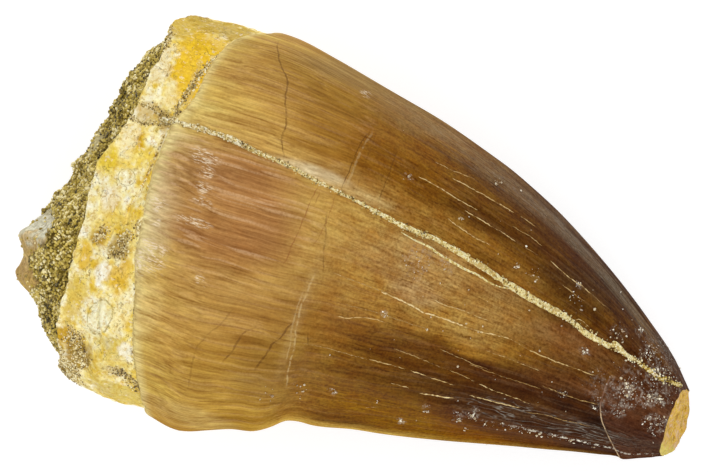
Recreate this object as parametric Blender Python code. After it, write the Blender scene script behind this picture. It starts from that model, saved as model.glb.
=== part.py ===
# A fossil mosasaur tooth lying on its side: the conical crown and its root stump, which grew as one
# piece, and the sandy rock that fills the broken, hollow end of the root.
# X runs along the tooth towards the point, +Y is the convex front edge, +Z is up.
# The origin is the middle of the flat spot that the tooth lies on.
import math

import bmesh
import bpy
import numpy as np

# Driving dimensions, in millimetres. Stations are measured along the tooth from the root's far end.
MM = 0.001
LENGTH = 64.2
REST_STATION = 23.5  # the station that the origin lies at
GAP = 0.3  # between the rock and the hollow that it fills

# Outlines seen from above: (station, distance from the middle line).
FRONT_EDGE = [
    (0.0, 16.6), (7.4, 17.3), (12.9, 18.4), (18.4, 18.95), (22.1, 18.4), (27.7, 17.3), (35.0, 15.8),
    (42.4, 13.4), (49.8, 9.9), (57.2, 5.2), (61.4, 1.9), (64.0, -0.9),
]
REAR_EDGE = [
    (0.0, -15.6), (7.4, -17.0), (9.4, -17.9), (12.9, -18.3), (16.6, -18.4), (19.4, -18.9), (22.1, -18.0),
    (25.8, -16.7), (29.5, -14.5), (35.0, -13.5), (42.4, -11.9), (53.5, -9.1), (61.0, -7.2), (64.0, -6.0),
]
# Outlines seen from the side: (station, height above the ground). Below nothing is ground flat.
UPPER_SIDE = [
    (0.0, 24.2), (6.0, 25.6), (13.0, 27.4), (19.0, 27.9), (26.0, 27.0), (34.0, 24.3), (44.0, 19.9),
    (54.0, 15.0), (60.0, 11.9), (64.0, 9.8),
]
UNDER_SIDE = [
    (0.0, 1.0), (6.0, 0.3), (12.0, -0.15), (18.0, -0.25), (30.0, -0.25), (38.0, 0.1), (48.0, 0.9),
    (58.0, 2.1), (64.0, 3.0),
]
WIDEST_LEVEL = 0.46  # height of the two edges, as a share of the thickness
FULLNESS = 2.12  # exponent of the cross-section: 2 is an ellipse

# The cutting edges of the crown. The front one runs along the front edge, and the rear one turns up onto
# the upper side, where its line is given as (station, degrees round the tooth).
FRONT_KEEL_HEIGHT = 0.5
REAR_KEEL_HEIGHT = 0.4
REAR_KEEL = [(34, 136), (42, 139), (48, 142), (56, 147), (62, 157)]
KEEL_SPREAD = math.radians(8.0)

# Round the tooth: 0 degrees is the front edge, 90 the upper side, 180 the rear edge, 270 the under side.
ENAMEL_FOOT = [
    (0, 16.4), (22, 12.8), (40, 11.6), (57, 10.8), (66, 10.0), (78, 9.8), (90, 10.1), (103, 10.8),
    (118, 12.0), (135, 13.3), (150, 14.6), (168, 15.9), (190, 16.0), (225, 13.9), (270, 12.6), (315, 14.2),
]
ROOT_RIM = [
    (0, 8.2), (21, 7.1), (36, 7.0), (50, 6.5), (71, 6.2), (80, 5.2), (97, 4.9), (108, 5.4), (135, 5.8),
    (148, 6.1), (158, 7.1), (170, 7.8), (180, 8.4), (190, 9.3), (213, 7.9), (240, 6.2), (270, 5.4), (300, 5.6),
    (330, 6.9),
]
ROOT_WALL = [
    (0, 1.5), (27, 0.8), (60, 1.5), (90, 2.0), (120, 1.7), (150, 0.8), (180, 0.7), (215, 1.3), (250, 2.2),
    (320, 2.3),
]
ENAMEL_STEP = 0.35  # how far the enamel stands above the root
STEP_RUN = 0.3  # the length over which it steps up

# Relief of the root bone and of the rock: (size of a lump, its height, seed).
ROOT_RELIEF = [(5.5, 0.55, 3), (2.2, 0.3, 5)]
RIM_RELIEF = [(3.0, 0.25, 7)]
ROCK_RELIEF = [(3.4, 0.4, 11), (1.7, 0.3, 13)]
# Pits in the root that hold sand: (station, degrees round, radius, depth).
ROOT_PITS = [(8.2, 101, 1.5, 0.7), (8.7, 89, 1.2, 0.55), (8.5, 66, 1.3, 0.5), (9.6, 140, 1.4, 0.6)]

# The hollow in the root's end, and the rock that fills it and bulges out of it. The rock's far side
# is given by its outline seen from above (across, station) and by how it slopes up to the rim.
HOLLOW_BOTTOM = (13.0, 0.4, 13.0)  # station, across, height
HOLLOW_ROUNDNESS = 0.62
MOUTH_BEVEL = 0.35  # how far the inner edge of the root's wall lies behind its outer edge
ROCK_OUTLINE = [
    (-16.5, 7.0), (-15.6, 5.4), (-14.9, 4.9), (-13.3, 4.3), (-12.2, 4.0), (-11.6, 3.4), (-11.0, 2.2),
    (-10.2, 1.2), (-8.8, 1.0), (-7.4, 0.6), (-6.3, 0.1), (-5.3, 0.7), (-3.6, 1.5), (-1.5, 2.2), (0.1, 3.1),
    (1.3, 2.8), (2.2, 3.4), (4.5, 4.0), (6.0, 4.4), (8.0, 4.4), (9.5, 4.5), (12.0, 5.1), (14.0, 5.8),
    (16.5, 6.9),
]
ROCK_CENTRE = (-1.0, 11.5)  # across, height
ROCK_OVERHANG_LEVEL = 10.0  # height at which the rock reaches out farthest
ROCK_UPPER_SLOPE = 0.024  # how fast it draws back above that level
ROCK_LOWER_SLOPE = 0.045
ROCK_EDGE_ROUNDNESS = 3.2

# The broken point: a rough, slightly hollow face that leans back towards the upper side.
POINT_WIDTH = 7.0
POINT_LEAN = math.radians(15.0)
POINT_RELIEF = [(1.8, 0.32, 17)]
POINT_HOLLOW = 0.35

# Faces of the mesh.
AROUND = 64
ROOT_RINGS = 7
CROWN_RINGS = 33
POINT_RINGS = 3
HOLLOW_RINGS = 5
ROCK_RINGS = 13


def through(points, at):
    """A smooth line through the points, read at the given places."""
    xs, ys = np.array(points, float).T
    slopes = np.gradient(ys, xs)
    i = np.clip(np.searchsorted(xs, at) - 1, 0, len(xs) - 2)
    width = xs[i + 1] - xs[i]
    t = np.clip((at - xs[i]) / width, 0.0, 1.0)
    rise = ys[i + 1] - ys[i]
    cubic = t * slopes[i] * width + t**2 * (3 * rise - (2 * slopes[i] + slopes[i + 1]) * width)
    return ys[i] + cubic + t**3 * ((slopes[i] + slopes[i + 1]) * width - 2 * rise)


def round_tooth(points, degrees):
    """A smooth closed line round the tooth through (degrees, value) points."""
    before = [(place - 360, value) for place, value in points]
    after = [(place + 360, value) for place, value in points]
    return through(before + list(points) + after, degrees % 360)


def lumps(places, relief):
    """Smooth random relief at these places, the sum of one lattice of heights for each (size, height, seed)."""
    total = np.zeros(places.shape[:-1])
    cells = 24
    for size, height, seed in relief:
        lattice = np.random.default_rng(seed).uniform(-1, 1, (cells, cells, cells))
        scaled = places / size + 100.0
        low = np.floor(scaled).astype(int)
        share = scaled - low
        share = share * share * (3 - 2 * share)
        for corner in np.ndindex(2, 2, 2):
            weight = np.prod(np.where(corner, share, 1 - share), axis=-1)
            index = (low + corner) % cells
            total += height * weight * lattice[index[..., 0], index[..., 1], index[..., 2]]
    return total


def power(value, exponent):
    return np.sign(value) * np.abs(value) ** exponent


def skin(station, angle, proud):
    """Points on the tooth's outer surface, raised by proud and by the two keels: an upper and a lower
    half of a rounded section that meet at the edges."""
    point_fade = np.clip((LENGTH - station) / 8, 0, 1)
    front_keel = FRONT_KEEL_HEIGHT * np.clip((station - 12) / 6, 0, 1) * point_fade
    rear_keel = REAR_KEEL_HEIGHT * np.clip((station - 32) / 10, 0, 1) * point_fade
    front = through(FRONT_EDGE, station) - front_keel
    rear = through(REAR_EDGE, station)
    top = through(UPPER_SIDE, station)
    under = through(UNDER_SIDE, station)
    level = under + WIDEST_LEVEL * (top - under)
    from_front = np.minimum(angle, 2 * math.pi - angle)
    from_rear = angle - np.radians(through(REAR_KEEL, station))
    raised = proud + front_keel * np.exp(-((from_front / KEEL_SPREAD) ** 2))
    raised = raised + rear_keel * np.exp(-((from_rear / KEEL_SPREAD) ** 2))
    across = power(np.cos(angle), 2 / FULLNESS)
    upward = power(np.sin(angle), 2 / FULLNESS)
    y = (front + rear) / 2 + ((front - rear) / 2 + raised) * across
    z = level + (np.where(upward > 0, top - level, level - under) + raised) * upward
    return np.stack([station, y, np.maximum(z, 0.0)], axis=-1)


def pit_depth(station, degrees):
    depth = np.zeros_like(station)
    for pit_station, pit_degrees, radius, deep in ROOT_PITS:
        arc = np.radians(degrees - pit_degrees) * 15.0
        away = np.hypot(station - pit_station, arc) / radius
        depth += deep * np.exp(-(away**4))
    return depth


def angles():
    return np.linspace(0, 2 * math.pi, AROUND, endpoint=False)


def rim_station(degrees):
    """Where the root bone breaks off, with a ragged edge."""
    rim = round_tooth(ROOT_RIM, degrees)
    turn = np.radians(degrees)
    spot = np.stack([16 * np.cos(turn), 12 * np.sin(turn), 0 * turn], axis=-1)
    return np.maximum(rim + lumps(spot, RIM_RELIEF), 0.0)


def root_rings():
    """Rings of the root's outer surface, from its broken rim to the foot of the enamel."""
    angle = angles()
    degrees = np.degrees(angle)
    start = rim_station(degrees)
    end = round_tooth(ENAMEL_FOOT, degrees) - STEP_RUN / 2
    rings = []
    for share in np.linspace(0, 1, ROOT_RINGS):
        station = start + (end - start) * share
        smooth = skin(station, angle, 0.0)
        relief = lumps(smooth, ROOT_RELIEF) * (1 - 0.6 * share**3)
        proud = relief - pit_depth(station, degrees) - ENAMEL_STEP * share**2
        rings.append(skin(station, angle, proud))
    return rings


def crown_rings():
    """Rings of the crown, from the enamel's foot to the broken point."""
    angle = angles()
    start = round_tooth(ENAMEL_FOOT, np.degrees(angle)) + STEP_RUN / 2
    rings = []
    for share in np.linspace(0, 1, CROWN_RINGS):
        end = LENGTH - (1 + np.sin(angle)) / 2 * (POINT_WIDTH * math.tan(POINT_LEAN))
        station = start + (end - start) * share**0.93
        rings.append(skin(station, angle, 0.0))
    return rings


def point_rings(edge):
    """Rings that close the broken point, and the middle of its face."""
    centre = edge.mean(axis=0)
    rings = []
    for share in np.linspace(0, 1, POINT_RINGS + 2)[1:-1]:
        ring = edge + (centre - edge) * share
        ring[:, 0] += lumps(ring, POINT_RELIEF) - POINT_HOLLOW * share
        rings.append(ring)
    return rings, centre - np.array([POINT_HOLLOW, 0.0, 0.0])


def inner_rim(rim, gap):
    """The rim moved inwards by the thickness of the root's wall, and by a gap."""
    angle = angles()
    wall = round_tooth(ROOT_WALL, np.degrees(angle)) + gap
    inward = np.stack([0 * angle, -np.cos(angle), -np.sin(angle)], -1)
    moved = rim + inward * wall[:, None]
    moved[:, 0] += MOUTH_BEVEL - gap
    return moved


def hollow_rings(rim, gap):
    """Rings of the hollow from its mouth to its bottom, shrunk by a gap on the rock's side."""
    mouth = inner_rim(rim, gap)
    bottom = np.array(HOLLOW_BOTTOM) - np.array([gap, 0.0, 0.0])
    rings = []
    for share in np.linspace(0, 1, HOLLOW_RINGS + 1)[:-1]:
        ring = mouth + (bottom - mouth) * share
        ring[:, 0] = mouth[:, 0] + (bottom[0] - mouth[:, 0]) * share**HOLLOW_ROUNDNESS
        rings.append(ring)
    return rings, bottom


def rock_face(rim):
    """Rings of the rock's rough outer side, from the hollow's mouth to its middle, and that middle."""
    mouth = inner_rim(rim, GAP)
    rings = []
    for share in np.linspace(0, 1, ROCK_RINGS + 1)[1:] ** 1.8:
        y = mouth[:, 1] + (ROCK_CENTRE[0] - mouth[:, 1]) * share
        z = mouth[:, 2] + (ROCK_CENTRE[1] - mouth[:, 2]) * share
        above = z - ROCK_OVERHANG_LEVEL
        slope = np.where(above > 0, ROCK_UPPER_SLOPE, ROCK_LOWER_SLOPE)
        face = through(ROCK_OUTLINE, y) + slope * above**2
        rounded = 1 - (1 - min(1.0, 3 * share)) ** ROCK_EDGE_ROUNDNESS
        spot = np.stack([0 * y, y, z], axis=-1)
        x = mouth[:, 0] + (face - mouth[:, 0]) * rounded - lumps(spot, ROCK_RELIEF) * min(1.0, share * 8)
        rings.append(np.stack([x, y, z], axis=-1))
    return rings[:-1], rings[-1][0]


def material(name, colour, roughness):
    made = bpy.data.materials.new(name)
    made.use_nodes = True
    shader = made.node_tree.nodes["Principled BSDF"]
    shader.inputs["Base Color"].default_value = (*colour, 1.0)
    shader.inputs["Roughness"].default_value = roughness
    shader.inputs["Metallic"].default_value = 0.0
    return made


def solid(name, first_pole, rings, last_pole, materials, material_of_band):
    """One closed object from a pole, rings of points and a second pole. Points are in millimetres."""
    bm = bmesh.new()
    shift = np.array([REST_STATION, 0.0, 0.0])
    loops = [[bm.verts.new((point - shift) * MM) for point in ring] for ring in rings]
    poles = [bm.verts.new((pole - shift) * MM) for pole in (first_pole, last_pole)]
    for band, (one, two) in enumerate(zip(loops, loops[1:])):
        for i in range(AROUND):
            j = (i + 1) % AROUND
            face = bm.faces.new((one[i], two[i], two[j], one[j]))
            face.material_index = material_of_band(band)
    for i in range(AROUND):
        j = (i + 1) % AROUND
        bm.faces.new((poles[0], loops[0][i], loops[0][j])).material_index = material_of_band(0)
        bm.faces.new((poles[1], loops[-1][j], loops[-1][i])).material_index = material_of_band(len(loops))
    bmesh.ops.recalc_face_normals(bm, faces=bm.faces)
    bmesh.ops.triangulate(bm, faces=bm.faces, quad_method="SHORT_EDGE")
    mesh = bpy.data.meshes.new(name)
    bm.to_mesh(mesh)
    bm.free()
    for made in materials:
        mesh.materials.append(made)
    mesh.shade_smooth()
    mesh.set_sharp_from_angle(angle=math.radians(35))
    made_object = bpy.data.objects.new(name, mesh)
    bpy.context.scene.collection.objects.link(made_object)
    return made_object


def make_tooth():
    root = root_rings()
    crown = crown_rings()
    point, point_pole = point_rings(crown[-1])
    hollow, hollow_pole = hollow_rings(root[0], 0.0)
    rings = hollow[::-1] + root + crown + point
    inside = len(hollow)
    foot = inside + len(root)
    broken = foot + len(crown)

    def material_of_band(band):
        if band < foot - 1:
            return 1
        return 0 if band < broken - 1 else 2

    enamel = material("enamel", (0.30, 0.14, 0.035), 0.32)
    bone = material("root_bone", (0.78, 0.62, 0.26), 0.75)
    dentine = material("broken_point", (0.72, 0.42, 0.10), 0.7)
    return solid("tooth", hollow_pole, rings, point_pole, [enamel, bone, dentine], material_of_band)


def make_matrix():
    rim = root_rings()[0]
    hollow, hollow_pole = hollow_rings(rim, GAP)
    face, face_pole = rock_face(rim)
    sandstone = material("sandstone", (0.33, 0.27, 0.12), 0.9)
    return solid("matrix", hollow_pole, hollow[::-1] + face, face_pole, [sandstone], lambda band: 0)


def main():
    for old in list(bpy.data.objects):
        bpy.data.objects.remove(old)
    make_tooth()
    make_matrix()


main()
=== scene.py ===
# A fossil mosasaur tooth on its side: brown enamel with a sand-filled crack, a bone root stump, and
# sandy rock in the root's broken end. Stations run in mm from the root's far end (0) to the point (64),
# angles in degrees round the tooth: 0 is the front edge, 90 the upper side, 180 the rear edge.
import math

import bpy
import numpy as np
from mathutils import Matrix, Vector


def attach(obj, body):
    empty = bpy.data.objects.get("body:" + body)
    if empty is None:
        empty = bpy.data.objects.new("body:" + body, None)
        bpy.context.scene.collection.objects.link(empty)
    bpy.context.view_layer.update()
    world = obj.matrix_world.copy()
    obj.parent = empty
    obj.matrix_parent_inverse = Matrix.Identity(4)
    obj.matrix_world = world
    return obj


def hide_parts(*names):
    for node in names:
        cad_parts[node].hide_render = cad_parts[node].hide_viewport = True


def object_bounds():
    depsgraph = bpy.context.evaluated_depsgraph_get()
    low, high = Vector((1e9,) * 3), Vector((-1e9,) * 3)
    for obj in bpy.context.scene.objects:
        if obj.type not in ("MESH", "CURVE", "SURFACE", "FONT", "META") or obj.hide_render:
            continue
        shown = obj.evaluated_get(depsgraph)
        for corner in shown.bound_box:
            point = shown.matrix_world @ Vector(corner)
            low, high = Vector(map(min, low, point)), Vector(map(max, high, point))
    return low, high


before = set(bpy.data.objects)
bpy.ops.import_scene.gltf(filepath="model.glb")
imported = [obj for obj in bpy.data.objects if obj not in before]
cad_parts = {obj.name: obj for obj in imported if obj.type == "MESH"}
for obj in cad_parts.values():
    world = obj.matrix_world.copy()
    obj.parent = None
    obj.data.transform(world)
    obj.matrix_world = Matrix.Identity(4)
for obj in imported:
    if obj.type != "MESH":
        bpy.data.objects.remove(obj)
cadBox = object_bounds()
print("frame loaded:", sorted(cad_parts))


# Numbers to surfaces.

def smoothLine(points, at):
    # A cubic through each pair of (place, value) points, its slopes taken from the points on both sides.
    places, values = np.array(points, float).T
    slopes = np.gradient(values, places)
    i = np.clip(np.searchsorted(places, at) - 1, 0, len(places) - 2)
    width = places[i + 1] - places[i]
    share = np.clip((at - places[i]) / width, 0.0, 1.0)
    rise = values[i + 1] - values[i]
    bend = 3 * rise - (2 * slopes[i] + slopes[i + 1]) * width
    close = (slopes[i] + slopes[i + 1]) * width - 2 * rise
    return values[i] + share * slopes[i] * width + share**2 * bend + share**3 * close


def roundLine(points, degrees):
    # The same, closed round the tooth.
    turns = [(place + turn, value) for turn in (-360, 0, 360) for place, value in points]
    return smoothLine(turns, degrees % 360)


def lumps(places, layers):
    # Smooth random heights: for each (size, height, seed) a lattice of random numbers, blended in each cell.
    total = np.zeros(places.shape[:-1])
    for size, height, seed in layers:
        lattice = np.random.default_rng(seed).uniform(-1, 1, (24, 24, 24))
        scaled = places / size + 100.0
        low = np.floor(scaled).astype(int)
        share = scaled - low
        share = share * share * (3 - 2 * share)
        for corner in np.ndindex(2, 2, 2):
            weight = np.prod(np.where(corner, share, 1 - share), axis=-1)
            x, y, z = np.moveaxis((low + corner) % 24, -1, 0)
            total += height * weight * lattice[x, y, z]
    return total


def ease(value, low, high):
    # 0 below low, 1 above high, smooth between.
    share = np.clip((value - low) / (high - low), 0.0, 1.0)
    return share * share * (3 - 2 * share)


def bendPower(value, power):
    return np.sign(value) * np.abs(value) ** power


def nearLine(points, station, across):
    # Distance from a line of (station, across) points, in mm: the least over its straight parts.
    nearest = np.full(np.shape(station), 99.0)
    for (x0, y0), (x1, y1) in zip(points, points[1:]):
        dx, dy = x1 - x0, y1 - y0
        share = np.clip(((station - x0) * dx + (across - y0) * dy) / (dx * dx + dy * dy), 0, 1)
        nearest = np.minimum(nearest, np.hypot(station - x0 - share * dx, across - y0 - share * dy))
    return nearest


def linear(code):
    # A web colour as Blender's linear one.
    parts = np.array([int(code[i:i + 2], 16) for i in (1, 3, 5)]) / 255
    return np.where(parts <= 0.04045, parts / 12.92, ((parts + 0.055) / 1.055) ** 2.4)


def bandColour(value, stops):
    # The colour at a value between (place, web colour) stops.
    places = [place for place, code in stops]
    codes = np.array([linear(code) for place, code in stops])
    return np.stack([np.interp(value, places, codes[:, k]) for k in range(3)], -1)


def layOver(colours, mask, code):
    return colours + (linear(code) - colours) * mask[..., None]


def shaded(colours, change, weights):
    # Each channel times 1 + weight * change: with weights that rise from red to blue, dark is also redder.
    return colours * np.clip(1 + change[..., None] * np.array(weights), 0.1, 3)


def hiddenAcross(across):
    # The under side takes its colours from the upper side, mirrored and a little narrower.
    return 1.0 - 0.9 * across


def inPatch(station, across, patch, wander, soft=0.28):
    # 1 inside an ellipse (station, across, half length, half width), 0 outside, with a soft, wandering edge.
    away = np.hypot((station - patch[0]) / patch[2], (across - patch[1]) / patch[3])
    return 1 - ease(away + wander, 1 - soft, 1 + soft)


def inFrame(points):
    # From mm along the tooth to the frame's metres, kept within the solids' box.
    return np.clip((points - [toothShape["restStation"], 0, 0]) * 0.001, *np.array(cadBox))


def newPiece(name, points, faces):
    # An object at the origin, from points in mm along the tooth.
    mesh = bpy.data.meshes.new(name)
    mesh.from_pydata(inFrame(points), [], faces)
    piece = bpy.data.objects.new(name, mesh)
    bpy.context.scene.collection.objects.link(piece)
    return piece


def putLayer(mesh, name, values):
    # A number or a vector for each point of the mesh.
    kind, field = ("FLOAT", "value") if values.ndim == 1 else ("FLOAT_VECTOR", "vector")
    mesh.attributes.new(name, kind, "POINT").data.foreach_set(field, values.astype(np.float32).ravel())


def putMap(mesh, corners):
    # The piece's own UV map: a place for each corner of each face.
    mesh.uv_layers.new(name="OFBake").uv.foreach_set("vector", corners.astype(np.float32).ravel())


def toMesh(name, rings, firstPole, lastPole, layers, bands=None):
    # A closed mesh from rings of points along +X and a pole at each end. bands gives each row of faces
    # its material. The map runs round the tooth across, and along the rows upwards.
    rows, columns = rings.shape[:2]
    count = rows * columns
    row, j = np.meshgrid(np.arange(rows - 1), np.arange(columns), indexing="ij")
    low, k = row * columns, (j + 1) % columns
    quads = np.stack([low + j, low + k, low + columns + k, low + columns + j], -1).reshape(-1, 4)
    side = np.arange(columns)
    after = (side + 1) % columns
    firstFan = np.stack([np.full(columns, count), after, side], -1)
    lastFan = np.stack([np.full(columns, count + 1), count - columns + side, count - columns + after], -1)
    points = np.concatenate([rings.reshape(-1, 3), [firstPole, lastPole]])
    piece = newPiece(name, points, quads.tolist() + firstFan.tolist() + lastFan.tolist())
    mesh = piece.data
    if bands is not None:
        bandOf = np.concatenate([row.ravel(), np.zeros(columns, int), np.full(columns, rows - 2)])
        mesh.polygons.foreach_set("material_index", np.asarray(bands)[bandOf].astype(np.int32))

    v = (np.arange(rows) + 0.5) / (rows + 1)
    u, step = j / columns, 1 / columns
    corners = [(u, v[row]), (u + step, v[row]), (u + step, v[row + 1]), (u, v[row + 1])]
    quadMap = np.stack([np.stack(corner, -1) for corner in corners], axis=2)
    u, still = side / columns, 0 * side / columns
    firstMap = np.stack([u + step / 2, still, u + step, still + v[0], u, still + v[0]], -1)
    lastMap = np.stack([u + step / 2, still + 1, u, still + v[-1], u + step, still + v[-1]], -1)
    putMap(mesh, np.concatenate([part.reshape(-1, 2) for part in (quadMap, firstMap, lastMap)]))
    for label, values in layers.items():
        ends = [values[0].mean(axis=0), values[-1].mean(axis=0)]
        putLayer(mesh, label, np.concatenate([values.reshape(count, 3), ends]))
    mesh.shade_smooth()
    mesh.validate()
    return piece


toothShape = {
    "length": 64.2,
    "restStation": 23.5,
    "frontEdge": [(0, 16.6), (7.4, 17.3), (12.9, 18.4), (18.4, 18.95), (22.1, 18.4), (27.7, 17.3),
                  (35, 15.8), (42.4, 13.4), (49.8, 9.9), (57.2, 5.2), (61.4, 1.9), (64, -0.9)],
    "rearEdge": [(0, -15.6), (7.4, -17), (9.4, -17.9), (12.9, -18.3), (16.6, -18.4), (18.4, -18.75),
                 (19.4, -18.85), (20.6, -18.6), (22.1, -18), (24.2, -17.15), (26.6, -16.45),
                 (27.8, -15.6), (28.8, -14.75), (29.6, -14.5), (31.3, -14.35), (35, -13.5), (38, -12.95),
                 (42.4, -11.95), (53.5, -9.1), (57.2, -8.2), (58.6, -7.9), (59.2, -7.9), (61, -7.25),
                 (62.7, -6.5), (64, -6)],
    "upperSide": [(0, 24.2), (6, 25.6), (13, 27.4), (19, 27.9), (26, 27), (34, 24.3), (44, 19.9),
                  (54, 15), (60, 11.9), (64, 9.8)],
    "underSide": [(0, 1), (6, 0.3), (12, -0.15), (18, -0.25), (30, -0.25), (38, 0.1), (48, 0.9),
                  (58, 2.1), (64, 3)],
    "widestLevel": 0.46,  # height of the two edges, as a share of the thickness
    "fullness": 2.12,  # exponent of the cross-section
    "frontKeelHeight": 0.5,
    "rearKeelHeight": 0.4,
    "rearKeel": [(34, 136), (42, 139), (48, 142), (56, 147), (62, 157)],  # (station, degrees)
    "keelSpread": math.radians(8),
    "enamelFoot": [(0, 16.4), (22, 12.8), (40, 11.6), (57, 10.8), (66, 10), (78, 9.8), (90, 10.1),
                   (103, 10.8), (118, 12), (135, 13.3), (150, 14.6), (168, 15.9), (190, 16), (225, 13.9),
                   (270, 12.6), (315, 14.2)],
    "rootRim": [(0, 8.2), (21, 7.1), (36, 7), (50, 6.5), (71, 6.2), (80, 5.2), (97, 4.9), (108, 5.4),
                (135, 5.8), (148, 6.1), (158, 7.1), (170, 7.8), (180, 8.4), (190, 9.3), (213, 7.9),
                (240, 6.2), (270, 5.4), (300, 5.6), (330, 6.9)],
    "rootWall": [(0, 1.5), (27, 0.8), (60, 1.5), (90, 2), (120, 1.7), (150, 0.8), (180, 0.7), (215, 1.3),
                 (250, 2.2), (320, 2.3)],
    "enamelStep": 0.35,
    "mouthBevel": 0.35,
    "hollowBottom": (13, 0.4, 13),
    "hollowRoundness": 0.62,
    "pointWidth": 7,
    "pointLean": math.radians(15),
}


def section(station):
    # Middle line, half width, widest level and the heights above and below it at a station.
    front = smoothLine(toothShape["frontEdge"], station)
    rear = smoothLine(toothShape["rearEdge"], station)
    top = smoothLine(toothShape["upperSide"], station)
    under = smoothLine(toothShape["underSide"], station)
    level = under + toothShape["widestLevel"] * (top - under)
    return (front + rear) / 2, (front - rear) / 2, level, top - level, level - under


def keelHeights(station):
    pointFade = np.clip((toothShape["length"] - station) / 8, 0, 1)
    front = toothShape["frontKeelHeight"] * np.clip((station - 12) / 6, 0, 1) * pointFade
    rear = toothShape["rearKeelHeight"] * np.clip((station - 32) / 10, 0, 1) * pointFade
    return front, rear


def skin(station, angle, proud):
    # A point of the outside: two half sections with rounded-off ellipse curves that meet at the edges,
    # raised by proud and, like a bell curve round each cutting edge, by the keels.
    middle, half, level, up, down = section(station)
    frontKeel, rearKeel = keelHeights(station)
    fromFront = np.minimum(angle, 2 * math.pi - angle) / toothShape["keelSpread"]
    fromRear = (angle - np.radians(smoothLine(toothShape["rearKeel"], station))) / toothShape["keelSpread"]
    raised = proud + frontKeel * np.exp(-(fromFront**2)) + rearKeel * np.exp(-(fromRear**2))
    power = 2 / toothShape["fullness"]
    across = bendPower(np.cos(angle), power)
    upward = bendPower(np.sin(angle), power)
    y = middle - frontKeel / 2 + (half - frontKeel / 2 + raised) * across
    z = level + (np.where(upward > 0, up, down) + raised) * upward
    return np.stack([station, y, np.maximum(z, 0.0)], axis=-1)


def angleAt(station, across):
    # The angle on the upper side that lies at this distance from the middle line of the picture.
    middle, half = section(station)[:2]
    frontKeel = keelHeights(station)[0]
    share = np.clip((across - middle + frontKeel / 2) / (half - frontKeel / 2), -1, 1)
    return np.arccos(bendPower(share, toothShape["fullness"] / 2))


# The enamel crown, with the broken point.

crownSettings = {
    "columns": 500,
    "footRows": 10,
    "rows": 168,
    "pointRows": 14,
    "footShare": 0.018,  # share of the length that the foot's rows take
    "rowPower": 0.97,
    "footRound": 0.5,  # run over which the enamel's foot rounds down to the bone
    "footDepth": 0.8,
    "footWander": [(1.6, 0.14, 61), (0.5, 0.06, 62)],
    "swells": [(9, 0.1, 21), (3.4, 0.035, 23)],
    # Wrinkles and streaks run to the point, in the rays of a cone: its middle (across and up) and its radius
    # along the tooth. A wrinkle is (size across, height), and 9 times as long.
    "coneAcross": [(8, 0.9), (20, 1), (30, 1.25), (42, 0.8), (52, -0.25), (60, -2.2), (66, -3.8)],
    "coneUp": [(8, 12.5), (20, 12.6), (30, 11.6), (44, 9.7), (54, 7.6), (66, 6)],
    "coneRadius": [(8, 17.8), (20, 17.8), (30, 15.6), (42, 12.6), (52, 9.15), (60, 5.6), (66, 3.6)],
    "coneScale": 16,
    "wrinkleBend": [(1.6, 0.35, 246)],
    "wrinkles": [(1.9, 0.45, 241), (0.9, 0.4, 242), (0.45, 0.35, 243)],
    "wrinkleHeight": [(10, 0.02), (20, 0.035), (34, 0.05), (48, 0.06), (64, 0.07)],
    "wrinkleShade": [(10, 0.09), (18, 0.14), (30, 0.14), (44, 0.2), (54, 0.32), (64, 0.38)],
    "pointWander": [(2.4, 0.22, 27), (0.7, 0.09, 28)],
    "pointRelief": [(1.8, 0.32, 17), (0.6, 0.1, 18)],
    "pointHollow": 0.35,
    "pointBack": 0.25,
    "liningRun": 0.8,
    "liningBack": 0.4,
    "liningDepths": (9, 4, 1.6),  # the enamel turns in under its foot, down to these depths
    "grooveHalf": 0.42,  # the groove that the long crack lies in
    "grooveDepth": 0.12,
    "crackStep": 0.1,  # how far the chunk beyond the last crack stands out
    "crackHalf": 0.12,
    # The long crack that the sand fills, as (station, across) on the upper side.
    "veinPath": [(8.6, 7.85), (10.5, 8), (13, 8.15), (16, 8.15), (17.2, 7.97), (18.6, 7.8), (20, 7.7),
                 (22, 7.45), (24, 7.1), (26, 6.85), (28, 6.6), (30, 6.25), (32, 5.95), (34, 5.67),
                 (36.5, 5.55), (38, 5.3), (40, 4.88), (42, 4.42), (44, 3.85), (46, 3.44), (48, 3.07),
                 (50, 2.72), (51, 2.45), (52, 2.05), (54, 1.6), (56, 1.38), (57, 1.18), (58, 0.93),
                 (59, 0.57), (60, 0.3), (61, 0.3), (62.6, 0.2)],
    # A thinner branch beside it.
    "strandPath": [(33.2, 5.12), (34.5, 4.86), (36, 4.7), (37, 4.4), (38.2, 4.15), (39.5, 3.9),
                   (41, 3.74), (42.2, 3.45), (43.2, 3.35), (44.6, 3.55)],
    # The crack that crosses the tooth near the point, as (across, station).
    "pointCrack": [(-8.5, 59.7), (-7.8, 58.9), (-7, 58), (-6, 57), (-5.2, 56.3), (-4.5, 55.95),
                   (-3.9, 55.75), (-2.5, 55.65), (-1.2, 55.75), (0, 56.2)],
}

coneParts = ("coneAcross", "coneUp", "coneRadius")

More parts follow.
